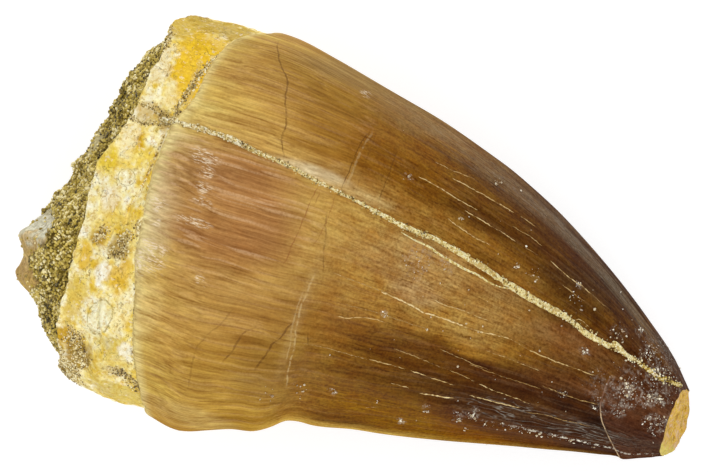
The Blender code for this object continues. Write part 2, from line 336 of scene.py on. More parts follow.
# The large areas of colour, painted on the mesh. Darkness 0 is the pale foot and 1 the dark point. The lanes'
# darkness is partly the enamel's own and partly painted shade.
crownColours = {
    "bands": [(0, "#DCC680"), (0.06, "#CDB264"), (0.15, "#C3A050"), (0.25, "#B68C45"), (0.35, "#A67A33"),
              (0.45, "#936522"), (0.55, "#805416"), (0.65, "#6E4610"), (0.75, "#5B360A"),
              (0.85, "#4A2607"), (1, "#341806")],
    "frontLane": [(9.5, 0.04), (13, 0.13), (17, 0.23), (20, 0.28), (26, 0.44), (34, 0.58), (44, 0.77),
                  (52, 0.87), (64, 0.93)],
    "middleLane": [(9.5, 0.02), (12, 0.17), (19, 0.31), (26, 0.22), (29, 0.3), (33, 0.34), (40, 0.37),
                   (46, 0.52), (52, 0.72), (64, 0.88)],
    "rearLane": [(9.5, 0), (14, 0.17), (20, 0.31), (24, 0.36), (28, 0.4), (32, 0.57), (40, 0.78),
                 (50, 0.93), (64, 1)],
    "wander": [(7, 0.6, 211), (3, 0.35, 212), (1.3, 0.2, 213)],
    # Areas of another hue: colour, strength, then station, across, half length and half width. The first one
    # below the long crack is the reddish one, and most of those above it are pale.
    "belowCrack": [("#9A603A", 0.62, (17.2, 1.9, 7, 5.2)), ("#C8A254", 0.45, (28.8, 5.6, 4.5, 0.9)),
                   ("#BC9656", 0.5, (36, 4.6, 5.5, 0.8)), ("#A5804A", 0.5, (43.5, 2.9, 2.8, 0.8)),
                   ("#95663A", 0.35, (15.5, 4.5, 2.5, 1))],
    "aboveCrack": [
        ("#C9A35E", 0.34, (24, 7.9, 8.5, 1.5)), ("#A87A34", 0.5, (34, 7, 6, 1.5)),
        ("#E0D0A8", 0.55, (23.8, 7.7, 3.4, 0.6)), ("#CFAE70", 0.55, (28, 7, 4, 0.7)),
        ("#9A6A24", 0.5, (40.5, 6.4, 4.5, 1.2)), ("#9C7030", 0.4, (45, 4.8, 3, 0.9)),
        ("#C8A054", 0.4, (17.5, 8.9, 5, 1.2)), ("#4E2D12", 0.55, (50, 6.2, 3.5, 1)),
    ],
    "areas": [
        ("#B98C40", 0.25, (27.6, 1.5, 3.6, 5.6)),
        ("#80521A", 0.42, (28.6, -3.6, 4, 3)),
        ("#E8D6A6", 0.5, (10, -3, 2.8, 4.6)),
        ("#85600F", 0.5, (24, 16.4, 10, 2.4)),
        ("#A07C22", 0.45, (22, -15.6, 8.5, 3.2)),
        ("#A8825A", 0.28, (36.5, 2.6, 5.5, 2.2)),
        ("#BC9656", 0.38, (44, 0.9, 4.5, 1.9)),
        ("#8C5608", 0.25, (31, 10.5, 5, 2.8)),
        ("#7A4E16", 0.45, (37, -4.6, 4.5, 1.2)),
        ("#42270C", 0.5, (44.5, -6.2, 6.5, 1)),
        ("#A87422", 0.5, (42.4, -3.2, 1.5, 0.5)),
        ("#A5762C", 0.5, (44.6, -2.2, 3, 1.1)),
        # Partly the enamel's olive brown, partly a painted sheen, low on the rear side:
        ("#7E5C20", 0.5, (27, -10.6, 4.2, 3.8)),
        ("#7C5000", 0.85, (38.5, -11.2, 8.5, 1.6)),
        ("#5A3000", 0.85, (49.5, -9.3, 6.5, 0.9)),
        ("#744400", 0.8, (45.5, -10.5, 4, 0.9)),
        ("#8E6630", 0.35, (36.8, -1.7, 2.2, 1.2)),
        ("#B49656", 0.25, (42.5, -1.6, 3, 1)),
        ("#7A5030", 0.45, (57.5, -2.8, 4.5, 1)),
        ("#6E4520", 0.45, (50.5, -3, 3, 0.9)),
        # A painted grey sheen near the upper edge:
        ("#7C6244", 0.35, (31.5, 15.4, 4.5, 1.1)),
        ("#8C6018", 0.3, (23.2, 12.3, 2.2, 2)),
        ("#C9A250", 0.2, (16.8, 13.8, 2.4, 1.8)),
        ("#9A6A34", 0.3, (14.5, 1.3, 3.5, 1)),
        ("#DCC07C", 0.5, (13.4, -9, 1.4, 2.5)),
        ("#CDA65A", 0.2, (16.2, -9.2, 3.5, 1.8)),
        ("#B59265", 0.4, (36.5, 0.2, 2.6, 1)),
        ("#9A7038", 0.35, (32.5, 1.8, 4.5, 1.2)),
        ("#8A5A30", 0.55, (51, 0.9, 3.5, 1.2)),
        ("#4A2912", 0.55, (56.2, 2.9, 2, 1)),
        ("#5C3404", 0.6, (39, -5.5, 5.5, 1)),
        ("#AC8038", 0.35, (33, -2.6, 3.5, 1.2)),
        # A painted grey sheen along the upper edge:
        ("#8E764C", 0.4, (25.5, 17.2, 7, 1)),
        ("#94671F", 0.3, (24, 14.6, 4.5, 1.7)),
        ("#C49A58", 0.35, (18.5, -5, 5.5, 1.6)),
        ("#A2792C", 0.55, (19.8, -11.4, 3, 1.6)),
        ("#200E04", 0.9, (59.3, -5.6, 4, 0.8)),
        ("#D8C088", 0.1, (26.8, -5, 0.5, 5.5)),
        ("#40260C", 0.6, (51.5, 5.6, 5, 2)),
        ("#80562A", 0.4, (52, 0, 6, 1.6)),
        ("#DCC684", 0.22, (21, -17.2, 5, 0.9)),
    ],
    # Dust: strength, then station, across and radius.
    "dust": [
        (0.6, (34.2, -2.4, 0.4)), (0.32, (35.5, 3, 1.6)), (0.32, (38.3, 3.7, 0.8)),
        (0.9, (32.2, 10.15, 0.3)), (0.55, (44.9, -8.4, 0.5)), (0.4, (40.6, -9.4, 0.35)),
        (0.3, (43.7, -9.1, 0.5)), (0.9, (38.8, -11.3, 0.3)), (0.9, (32, -10.7, 0.35)),
        (0.45, (52.1, -4.1, 0.35)), (0.8, (52.8, 0.2, 0.45)), (0.75, (57.6, -1.8, 1.4)),
        (0.95, (59.8, -1.9, 1)), (0.9, (60.8, -1.8, 0.7)), (0.6, (57.5, -3.9, 0.7)),
        (0.85, (61, -4, 1)), (0.25, (55, 3, 0.8)), (0.6, (58.4, 2.2, 0.8)), (0.9, (50.2, 5.9, 0.25)),
        (0.7, (57, 3.8, 0.4)), (0.6, (61.9, -3.5, 0.8)), (0.42, (59.5, 0.2, 2.6)),
        (0.25, (56, -2.5, 2)), (0.3, (59.2, 2.4, 1.6)),
    ],
    # Painted glints near the foot, highlights on the enamel, as station, across, half length and half width.
    "glints": [(13.8, 5.75, 1.5, 0.7), (14.6, 4.6, 0.8, 0.5), (14.8, 3, 0.7, 0.5), (15, 1.9, 0.9, 0.3),
               (11.4, 0.2, 0.8, 0.7), (11.5, -1.2, 0.6, 0.5), (14.8, -0.1, 1.6, 0.4),
               (12.2, -4.6, 1.3, 1.6), (17.3, -5, 0.6, 0.4), (26, 16.1, 0.5, 0.3)],
    "dustAndHighlightWander": [(0.8, 0.35, 247), (0.35, 0.2, 248)],
    # Strength of the painted highlight along the rear keel, as (station, strength).
    "keelHighlight": [(45, 0), (48, 0.5), (51, 0.9), (57, 1), (58.5, 0.6), (61, 0.5), (62.5, 0)],
    # Laid over parts of the crown, each as colour and strength: the chunk at the point, a painted sheen
    # beside the front edge, a painted highlight along the rear edge, the painted shade of the dark band above
    # the rear keel and the pale foot.
    "chunk": ("#56301C", 0.6),
    "sheen": ("#A09070", 0.22),
    "rearEdgeHighlight": ("#D2AC52", 0.25),
    "rearEdgeHighlightNearRoot": 0.45,  # added to its strength
    "keelShade": ("#2E1C0E", 0.52),
    "paleFoot": ("#DCCB8C", 0.55),
    # The middle and half width of the dark band of painted shade, as (station, value).
    "shadePath": [(32, -9), (34, -8.6), (40, -8), (46, -7.5), (52, -7), (58, -6.55), (62, -6.2)],
    "shadeHalf": [(32, 0.5), (38, 0.7), (44, 0.95), (54, 0.95), (62, 0.75)],
    "mottle": [(1.6, 0.55, 261), (0.8, 0.35, 262)],
    "mottleStrength": 0.16,
    "rays": [(0.6, 1, 271), (0.35, 0.6, 272)],
    "crossBands": [(1.7, 0.05, 291), (0.7, 0.035, 292)],
    # How strongly each makes red, green and blue lighter or darker.
    "rayWeights": (0.8, 1, 1.15),
    "crossWeights": (0.45, 1, 1.6),
    "darkerIsRedder": (0.8, 1, 1.25),
}


def footStation(degrees):
    turn = np.radians(degrees)
    spot = np.stack([18 * np.cos(turn), 14 * np.sin(turn), 0 * turn], -1)
    return roundLine(toothShape["enamelFoot"], degrees) + lumps(spot, crownSettings["footWander"])


def alongCone(points):
    # Station, and the place across and up in the cone, both as wide as at the root everywhere.
    station = points[..., 0]
    across, up, radius = (smoothLine(crownSettings[part], station) for part in coneParts)
    scale = crownSettings["coneScale"] / radius
    return np.stack([station, (points[..., 1] - across) * scale, (points[..., 2] - up) * scale], -1)


def wrinkles(points):
    # Random ridges that run along the tooth, about -1 to 1.
    spot = alongCone(points) * [1 / 9, 1, 1]
    bend = lumps(spot, crownSettings["wrinkleBend"])
    return lumps(spot + bend[..., None] * [0, 1, 1], crownSettings["wrinkles"])


def crownProud(station, angle):
    # How far the enamel stands out of the smooth outside: swells and wrinkles, less the rounded foot and a
    # groove along the filled crack, and the step and notch of the crack near the point.
    settings = crownSettings
    run = station - footStation(np.degrees(angle))
    flat = skin(station, angle, 0.0)
    across = flat[..., 1]
    proud = lumps(flat, settings["swells"]) * ease(run, 0, 3)
    proud = proud + wrinkles(flat) * smoothLine(settings["wrinkleHeight"], station)
    rounding = np.clip(1 - run / settings["footRound"], 0, 1)
    proud = proud - settings["footDepth"] * (1 - np.sqrt(1 - rounding**2))
    away = np.abs(across - smoothLine(settings["veinPath"], station)) / settings["grooveHalf"]
    upper = np.sin(angle) > 0
    proud = proud - settings["grooveDepth"] * np.exp(-(away**2)) * upper * ease(station, 9, 12)
    beyond = station - smoothLine(settings["pointCrack"], across)
    notch = settings["crackStep"] * np.exp(-((beyond / settings["crackHalf"]) ** 2))
    step = settings["crackStep"] * ease(beyond, 0, 0.25) - notch
    return proud + upper * ease(-across, 1.5, 3.5) * step


def belowKeel(station, angle):
    # How far round the tooth a place lies below the rear keel, in mm.
    fromKeel = angle - np.radians(smoothLine(toothShape["rearKeel"], station))
    return fromKeel * smoothLine(crownSettings["coneRadius"], station)


def crownDustAndHighlights(points, angle):
    # Dust, painted glints near the foot and a painted highlight along the rear keel, each 0 to 1.
    station, across = points[..., 0], points[..., 1]
    wander = lumps(points, crownColours["dustAndHighlightWander"])
    upper = np.sin(angle) > 0
    dust, glint = np.zeros(station.shape), np.zeros(station.shape)
    for strength, (x, y, radius) in crownColours["dust"]:
        dust = np.maximum(dust, strength * inPatch(station, across, (x, y, radius, radius), wander))
    for patch in crownColours["glints"]:
        glint = np.maximum(glint, inPatch(station, across, patch, wander))
    keel = 1 - ease(np.abs(belowKeel(station, angle) + 0.3 + 0.2 * wander), 0.02, 0.17)
    keel = keel * np.maximum(smoothLine(crownColours["keelHighlight"], station), 0)
    return np.stack([dust * upper, glint * upper, keel], -1)


def crownPaint(points, angle, fromFoot):
    # Darkness comes from three lanes along the tooth, mixed across it: partly the enamel's own, partly
    # painted shade. The long crack parts two of them.
    colours = crownColours
    station, across = points[..., 0], points[..., 1]
    degrees, upper = np.degrees(angle), np.sin(angle) > 0
    across = np.where(upper, across, hiddenAcross(across))
    wander = lumps(points * [0.5, 1.0, 1.0], colours["wander"])
    ridged = wrinkles(points)
    front, middle, rear = (smoothLine(colours[lane], station + 2.5 * wander)
                           for lane in ("frontLane", "middleLane", "rearLane"))
    sharp = ease(across - smoothLine(crownSettings["veinPath"], station), -0.15, 0.15)
    soft = ease(across + wander, 3.2, 8.0)
    frontShare = sharp + (soft - sharp) * ease(station, 22, 30)
    rearShare = ease(across + 1.2 * wander, -1.0, -5.2)
    darkness = middle + (front - middle) * frontShare + (rear - middle) * rearShare
    mottle = lumps(points * [0.7, 1, 1], colours["mottle"])
    darkness = darkness + colours["mottleStrength"] * mottle * ease(station, 42, 56)
    painted = bandColour(darkness + 0.05 * wander - 0.10 * ridged, colours["bands"])

    def patchMask(patch):
        return inPatch(station, across, patch, 0.4 * wander, 0.5)

    reddish = (1 - sharp) * patchMask(colours["belowCrack"][0][2])
    for group, side in (("belowCrack", 1 - sharp), ("aboveCrack", sharp), ("areas", 1)):
        for code, strength, patch in colours[group]:
            painted = layOver(painted, strength * side * patchMask(patch), code)
    rays = lumps(alongCone(points) * [1 / 11, 1, 1], colours["rays"])
    rays = rays * (0.03 + 0.10 * reddish) * ease(station, 30, 22)
    painted = shaded(painted, rays, colours["rayWeights"])
    crossing = lumps(points * [1, 0.12, 0.12], colours["crossBands"]) * ease(station, 21, 28)
    painted = shaded(painted, crossing, colours["crossWeights"])

    # The chunk beyond the last crack, the painted sheen, the painted highlight along the rear edge and the
    # painted shade of the dark band above the rear keel.
    code, strength = colours["chunk"]
    beyond = station - smoothLine(crownSettings["pointCrack"], across)
    painted = layOver(painted, strength * (ease(beyond, -0.1, 0.5) * ease(-across, -1.5, 0.5)), code)
    # A painted grey sheen beside the front edge.
    code, strength = colours["sheen"]
    sheen = (1 - ease(np.abs(degrees - 17 + 8 * ridged), 3, 16)) * ease(station, 22, 46)
    sheen = sheen * ease(64 - station, 2, 8)
    painted = layOver(painted, strength * sheen, code)
    # A painted highlight along the rear edge, stronger towards the root.
    code, strength = colours["rearEdgeHighlight"]
    edge = ease(degrees, 160, 174) * (1 - ease(degrees, 178, 200))
    edge = edge * ease(station, 25, 28) * ease(60 - station, 0, 8)
    strength = strength + colours["rearEdgeHighlightNearRoot"] * ease(44 - station, 0, 6)
    painted = layOver(painted, strength * edge, code)
    # Painted shade: the dark band above the rear keel, in streaks.
    code, strength = colours["keelShade"]
    away = (across - smoothLine(colours["shadePath"], station)) / smoothLine(colours["shadeHalf"], station)
    streaky = 0.55 + 0.45 * ease(ridged + 0.3 * wander, -0.25, 0.35)
    band = (1 - ease(np.abs(away + 0.3 * wander), 0.4, 1.25)) * ease(station, 31, 46) * upper
    painted = layOver(painted, strength * band * streaky, code)

    shade = smoothLine(crownSettings["wrinkleShade"], station) * ridged
    painted = shaded(painted, shade, colours["darkerIsRedder"])
    code, strength = colours["paleFoot"]
    painted = layOver(painted, strength * (1 - ease(fromFoot + 0.4 * wander, 0.2, 1.3)), code)
    return painted, np.stack([reddish, sheen, band], -1)


def crownPiece():
    settings = crownSettings
    angle = np.linspace(0, 2 * math.pi, settings["columns"], endpoint=False)
    foot = footStation(np.degrees(angle))
    spot = np.stack([5 * np.cos(angle), 5 * np.sin(angle), 0 * angle], -1)
    lean = toothShape["pointWidth"] * math.tan(toothShape["pointLean"])
    end = toothShape["length"] - (1 + np.sin(angle)) / 2 * lean + lumps(spot, settings["pointWander"])
    end = end - settings["pointBack"]
    begin = settings["footShare"]
    shares = np.concatenate([np.linspace(0, begin, settings["footRows"], endpoint=False),
                             np.linspace(begin, 1, settings["rows"]) ** settings["rowPower"]])
    station = foot + (end - foot) * shares[:, None]
    turned = np.broadcast_to(angle, station.shape)
    rings = skin(station, turned, crownProud(station, turned))

    # The lining under the foot, and the broken point, which is a little hollow and rough.
    inside = foot + settings["liningRun"]
    lining = np.array([skin(inside, angle, -depth) for depth in settings["liningDepths"]])
    lining[-1, :, 0] -= settings["liningBack"]
    middle = rings[-1].mean(axis=0)
    face = []
    for share in (np.arange(settings["pointRows"]) + 1) / (settings["pointRows"] + 1):
        ring = rings[-1] + (middle - rings[-1]) * share
        rough = lumps(ring, settings["pointRelief"]) * min(1, share * 6)
        face.append(ring + np.stack([rough - settings["pointHollow"] * share, 0 * rough, 0 * rough], -1))
    everything = np.concatenate([lining, rings, np.array(face)])
    rows = len(everything)
    bands = np.where(np.arange(rows - 1) < rows - len(face) - 1, 0, 1)
    around = np.broadcast_to(angle, (rows, len(angle)))
    fromFoot = np.concatenate([0 * lining[..., 0], station - foot, np.full((len(face), len(angle)), 50.0)])
    painted, zones = crownPaint(everything, around, fromFoot)
    layers = {"marks": np.stack([np.cos(around), np.sin(around), 0 * around], -1), "paint": painted,
              "wear": crownDustAndHighlights(everything, around), "zones": zones}
    frontPole = middle - [settings["pointHollow"], 0, 0]
    return toMesh("crown", everything, lining[0].mean(axis=0), frontPole, layers, bands)


# The root stump.

rootSettings = {
    "columns": 480,
    "rows": 100,
    "rimRows": 14,
    "hollowRows": 6,
    "relief": [(5.5, 0.55, 3), (2.2, 0.3, 5)],
    "fine": [(1.1, 0.12, 31), (0.55, 0.07, 33), (0.28, 0.035, 35)],
    "rimRelief": [(3, 0.25, 7)],
    "rimFine": [(1.3, 0.22, 37), (0.5, 0.12, 38), (0.25, 0.06, 39)],
    "rimSwells": [(1.4, 0.3, 51), (0.6, 0.14, 52)],
    "underEnamel": 0.45,  # how far the bone reaches in under the enamel's foot
    # Pits: station, degrees round, radius, depth.
    "pits": [(8.2, 101, 1.5, 0.7), (8.7, 89, 1.2, 0.55), (8.5, 66, 1.3, 0.5), (9.6, 140, 1.4, 0.6)],
    # Sunken lines on the upper side: half width, depth, then (station, across) points.
    "furrows": [
        (0.16, 0.34, [(9.8, 6.8), (9.7, 4.5), (9.6, 3), (9.4, 1.5), (9.2, 0), (8.9, -0.7), (9.1, -2.2)]),
        (0.1, 0.3, [(8.35, 13.1), (8.25, 12.2), (8.2, 11.3)]),
        (0.1, 0.38, [(9.1, -9.6), (9.25, -10.6), (9.4, -11.6), (9.8, -12.5)]),
        (0.55, 0.45, [(6.6, -13.4), (8.2, -14), (9.2, -15), (9.9, -16.2)]),
        (0.22, 0.35, [(11.8, -15.7), (13.5, -16.1), (15.4, -16.6)]),
        (0.22, 0.3, [(6.3, 7.2), (7.2, 7.1), (8.4, 7.4), (9.9, 7.9)]),
        (0.2, 0.3, [(6.9, 8.7), (8.2, 8.6), (9.9, 8.2)]),
        (0.14, 0.25, [(9, -6.2), (9.1, -7), (9.05, -8)]),
    ],
}

# The bone's own colours: a mottled ground from cream to yellow, with areas of another colour.
rootColours = {
    "ground": [(0, "#FBF4D6"), (0.3, "#F8EBB2"), (0.5, "#F3DD86"), (0.7, "#E9C648"), (1, "#D2A21C")],
    "mottle": [(2.6, 0.3, 221), (1.1, 0.3, 222), (0.5, 0.3, 223), (0.28, 0.2, 227)],
    "wander": [(1.2, 0.45, 224), (0.5, 0.3, 225), (0.25, 0.15, 226)],
    # Colour, strength, then station, across, half length and half width.
    "areas": [
        ("#EBBE14", 0.95, (10.4, 13, 2, 3.6)),
        ("#D2B24A", 0.85, (8, 16.6, 2, 1.2)),
        ("#E2B822", 0.85, (11.4, 15.9, 2.2, 1.2)),
        ("#C2A23E", 0.9, (12.2, 17.6, 4, 1.1)),
        ("#D2B850", 0.6, (11.7, -13.2, 1.3, 0.9)),
        ("#D2B85E", 0.6, (11.8, -15.6, 1.9, 0.7)),
        ("#F0E2B4", 0.85, (7.4, 12.2, 0.9, 2.4)),
        ("#F0DC9C", 0.7, (8.9, 10.2, 0.9, 1.2)),
        ("#F6EDC4", 0.75, (7.9, 1.6, 0.8, 0.8)),
        ("#F6E8C4", 0.7, (7, -0.8, 0.9, 1.1)),
        ("#F7E8B8", 0.6, (6.9, 5.2, 1, 1.5)),
        ("#E6C73C", 0.75, (5.7, 2.2, 0.7, 1.6)),
        ("#EDD15E", 0.6, (8.6, 4.2, 1.1, 1)),
        ("#F0D570", 0.6, (8.2, -2.4, 2, 0.8)),
        ("#E6BA30", 0.85, (6.8, -6.6, 0.7, 1.3)),
        ("#DDBE4C", 0.7, (7, -9.6, 1.1, 1.6)),
        ("#FAF4DC", 0.9, (8.4, -7, 0.7, 1.2)),
        ("#E8BC3E", 0.8, (10.2, -7, 0.8, 1.6)),
        ("#F3EDC6", 0.9, (9.4, -11.2, 1.1, 1.7)),
        ("#E0BE4C", 0.75, (6.8, -11.2, 0.9, 1.8)),
        ("#F6E5A6", 0.75, (11.4, -10.6, 0.8, 2.2)),
        ("#FBF6E0", 0.7, (12.6, -13.2, 0.7, 0.6)),
        ("#C79A1A", 0.9, (7, -13.9, 1.6, 0.9)),
        ("#AA841E", 0.85, (8.9, -15.3, 1.3, 1.1)),
        ("#D2B858", 0.85, (13, -17.2, 3.4, 0.8)),
        ("#E2CA72", 0.7, (12, -14.7, 2, 0.6)),
        ("#8E7428", 0.8, (7.6, -16.6, 1.4, 0.7)),
        ("#DDBC62", 0.8, (10.7, 11.6, 0.35, 2.6)),
        ("#D2B468", 0.8, (8.4, 7.9, 1.8, 0.9)),
        ("#B08824", 0.8, (7.2, -4.2, 0.7, 0.8)),
        ("#B59640", 0.8, (9.2, -4.4, 0.9, 1.4)),
    ],
}


def rimStation(degrees, fine):
    rim = roundLine(toothShape["rootRim"], degrees)
    turn = np.radians(degrees)
    spot = np.stack([16 * np.cos(turn), 12 * np.sin(turn), 0 * turn], -1)
    rim = np.maximum(rim + lumps(spot, rootSettings["rimRelief"]), 0.0)
    return rim + lumps(spot, rootSettings["rimFine"]) if fine else rim


def rootProud(station, angle):
    # How far the bone stands out of the smooth outside: lumps, less pits, furrows and the enamel's step.
    degrees = np.degrees(angle)
    smooth = skin(station, angle, 0.0)
    rim = roundLine(toothShape["rootRim"], degrees)
    foot = roundLine(toothShape["enamelFoot"], degrees)
    share = np.clip((station - rim) / (foot - rim), 0, 1)
    proud = lumps(smooth, rootSettings["relief"]) * (1 - 0.6 * share**3) - toothShape["enamelStep"] * share**2
    for pitStation, pitDegrees, radius, depth in rootSettings["pits"]:
        away = np.hypot(station - pitStation, np.radians(degrees - pitDegrees) * 15) / radius
        proud = proud - depth * np.exp(-(away**4))
    proud = proud + lumps(smooth, rootSettings["fine"])
    for half, depth, points in rootSettings["furrows"]:
        away = nearLine(points, station, smooth[..., 1]) / half
        proud = proud - depth * np.exp(-(away**2)) * (np.sin(angle) > 0)
    return proud


def innerRim(rim, columns, gap):
    # The rim moved inwards by the thickness of the root's wall, and by a gap.
    angle = np.linspace(0, 2 * math.pi, columns, endpoint=False)
    wall = roundLine(toothShape["rootWall"], np.degrees(angle)) + gap
    moved = rim + np.stack([0 * angle, -np.cos(angle), -np.sin(angle)], -1) * wall[:, None]
    moved[:, 0] += toothShape["mouthBevel"] - gap
    return moved


def hollowRings(mouth, bottom, count):
    # From the mouth towards the bottom of the hollow, which rounds off as a power of the way.
    rings = []
    for share in np.linspace(0, 1, count + 1)[:-1]:
        ring = mouth + (bottom - mouth) * share
        ring[:, 0] = mouth[:, 0] + (bottom[0] - mouth[:, 0]) * share ** toothShape["hollowRoundness"]
        rings.append(ring)
    return np.array(rings)


def rootPaint(points, angle):
    colours = rootColours
    station, across = points[..., 0], points[..., 1]
    across = np.where(np.sin(angle) > 0, across, hiddenAcross(across))
    mottle = lumps(points, colours["mottle"])
    wander = lumps(points, colours["wander"])
    painted = bandColour(0.42 + mottle, colours["ground"])
    for code, strength, patch in colours["areas"]:
        painted = layOver(painted, strength * inPatch(station, across, patch, wander), code)
    return painted


def rootPiece():
    settings = rootSettings
    columns = settings["columns"]
    angle = np.linspace(0, 2 * math.pi, columns, endpoint=False)
    degrees = np.degrees(angle)
    start = rimStation(degrees, True)
    end = footStation(degrees) + settings["underEnamel"]
    station = start + (end - start) * np.linspace(0, 1, settings["rows"])[:, None]
    turned = np.broadcast_to(angle, station.shape)
    outside = skin(station, turned, rootProud(station, turned))

    mouth = innerRim(outside[0], columns, 0.0)
    rim = []
    for share in (np.arange(settings["rimRows"]) + 1) / (settings["rimRows"] + 1):
        ring = mouth + (outside[0] - mouth) * share
        ring[:, 0] += lumps(ring, settings["rimSwells"]) * math.sin(share * math.pi)
        rim.append(ring)
    bottom = np.array(toothShape["hollowBottom"])
    hollow = hollowRings(mouth, bottom, settings["hollowRows"])
    closing = np.array([skin(end + 0.2, angle, -depth) for depth in crownSettings["liningDepths"][::-1]])
    everything = np.concatenate([hollow[::-1], np.array(rim), outside, closing])
    painted = rootPaint(everything, np.broadcast_to(angle, everything.shape[:2]))
    return toMesh("root", everything, bottom, closing[-1].mean(axis=0), {"paint": painted})


# The sandy rock in the root's end, with pieces of bone that stick in it.

rockSettings = {
    "columns": 380,
    "rows": 110,
    # How far the rock reaches out, seen from above: (across, station).
    "outline": [(-16.5, 7), (-15.6, 5.4), (-14.9, 4.9), (-13.3, 4.3), (-12.2, 4), (-11.6, 3.4),
                (-11, 2.2), (-10.2, 1.2), (-8.8, 1), (-7.4, 0.6), (-6.3, 0.1), (-5.3, 0.7), (-3.6, 1.5),
                (-1.5, 2.2), (0.1, 3.1), (1.3, 2.8), (2.2, 3.4), (4.5, 4), (6, 4.4), (8, 4.4), (9.5, 4.5),
                (12, 5.1), (14, 5.8), (16.5, 6.9)],
    "centre": (-1, 11.5),
    "overhangLevel": 10,
    "upperSlope": 0.024,
    "lowerSlope": 0.045,
    "edgeRoundness": 3.2,
    "gap": 0.3,
    "relief": [(3.4, 0.4, 11), (1.7, 0.3, 13)],
    "fine": [(0.9, 0.16, 41), (0.42, 0.1, 43)],
    # The large piece of bone: where it ends against the sand, as (across, station), and its lowest level.
    "boneEnd": [(-12, 0.6), (-11.2, 2.6), (-10.4, 3.1), (-9.4, 2.5), (-8.4, 1.9), (-7.3, 2.1),
                (-6.4, 2.5), (-5.4, 2.8), (-4.6, 2.9), (-3.8, 2.5), (-3, 1.9), (-2.2, 0.8)],
    "boneLevel": 5,
    "boneWander": [(0.9, 0.35, 231), (0.4, 0.2, 232)],
    "boneShift": [(3, 0.9, 236)],  # moves its edges on the lower part of the face
    "boneLayers": [(1.2, 1.6, 235)],
    "boneStripes": [(0.8, 0.9, 238), (0.35, 0.7, 239)],
    "boneColours": [(-11, "#C2A050"), (-9.4, "#B8965A"), (-8.6, "#D2B474"), (-7.6, "#BC9A52"),
                    (-6.6, "#D0B47E"), (-5.8, "#CDC8AC"), (-4.6, "#D2CCB4"), (-3, "#B8AE88")],
    # Two small lumps: colour, then station, across, half length and half width.
    "lumps": [("#BCAE7E", (3.95, 3.5, 0.75, 1.5)), ("#9C8338", (2.9, 1.25, 0.6, 0.55))],
    "lumpWander": [(0.7, 0.3, 233)],
    "mottle": [(1.5, 0.4, 236), (0.4, 0.3, 237)],
    "ground": [(0, "#4A3C12"), (0.5, "#74611F"), (1, "#968030")],
    "grainWeights": (0.9, 1, 1.15),
    "vein": "#6A5224",
}


def boneMask(points):
    # 1 on the large piece of bone in the rock.
    settings = rockSettings
    x, y, z = np.moveaxis(points, -1, 0)
    wander = lumps(points, settings["boneWander"])
    sunken = np.maximum(0, 12 - z)
    shifted = y + 0.28 * sunken + np.minimum(1, sunken / 3) * lumps(points, settings["boneShift"])
    inside = 1 - ease(x - smoothLine(settings["boneEnd"], shifted) + wander, -0.15, 0.15)
    return inside * ease(z + 3 * wander, settings["boneLevel"] - 0.5, settings["boneLevel"] + 0.5)


def lumpMask(points, patch):
    wander = lumps(points, rockSettings["lumpWander"])
    depth = 1 - ease(np.abs(points[..., 2] - 12 + 2 * wander), 1.5, 2.6)
    return inPatch(points[..., 0], points[..., 1], patch, wander) * depth


def rockRings():
    # From the hollow's mouth to the middle of the face; it draws back above and below the overhang.
    settings = rockSettings
    columns = settings["columns"]
    angle = np.linspace(0, 2 * math.pi, columns, endpoint=False)
    start = rimStation(np.degrees(angle), False)
    mouth = innerRim(skin(start, angle, rootProud(start, angle)), columns, settings["gap"])
    share = np.linspace(0, 1, settings["rows"] + 1)[1:, None] ** 1.5
    y = mouth[:, 1] + (settings["centre"][0] - mouth[:, 1]) * share
    z = mouth[:, 2] + (settings["centre"][1] - mouth[:, 2]) * share
    above = z - settings["overhangLevel"]
    slope = np.where(above > 0, settings["upperSlope"], settings["lowerSlope"])
    face = smoothLine(settings["outline"], y) + slope * above**2
    rounded = 1 - (1 - np.minimum(1.0, 3 * share)) ** settings["edgeRoundness"]
    spot = np.stack([0 * y, y, z], axis=-1)
    fromRim = np.minimum(1, share * 8)
    x = mouth[:, 0] + (face - mouth[:, 0]) * rounded - lumps(spot, settings["relief"]) * fromRim
    bone = boneMask(np.stack([x, y, z], axis=-1))
    layers = 0.22 * np.sin(y * 7 + z * 2.5 + lumps(spot, settings["boneLayers"]))
    fine = lumps(spot, settings["fine"]) * (1 - bone) + (0.12 * layers - 0.1) * bone
    x = x - fine * fromRim
    return mouth, np.stack([x, y, z], axis=-1)


def rockPaint(points):
    settings = rockSettings
    painted = bandColour(0.5 + lumps(points, settings["mottle"]), settings["ground"])
    stripes = lumps(points * [0.4, 1, 0.6], settings["boneStripes"])
    bone = boneMask(points)[..., None]
    painted = painted + (bandColour(points[..., 1] + stripes, settings["boneColours"]) - painted) * bone
    for code, patch in settings["lumps"]:
        painted = layOver(painted, lumpMask(points, patch), code)
    return painted


def rockPiece():
    mouth, face = rockRings()
    bottom = np.array(toothShape["hollowBottom"]) - [rockSettings["gap"], 0, 0]
    everything = np.concatenate([face[-2::-1], hollowRings(mouth, bottom, rootSettings["hollowRows"])])
    return toMesh("rock", everything, face[-1][0], bottom, {"paint": rockPaint(everything)})


# Grains of sand, loose and cemented, and flakes of dust.

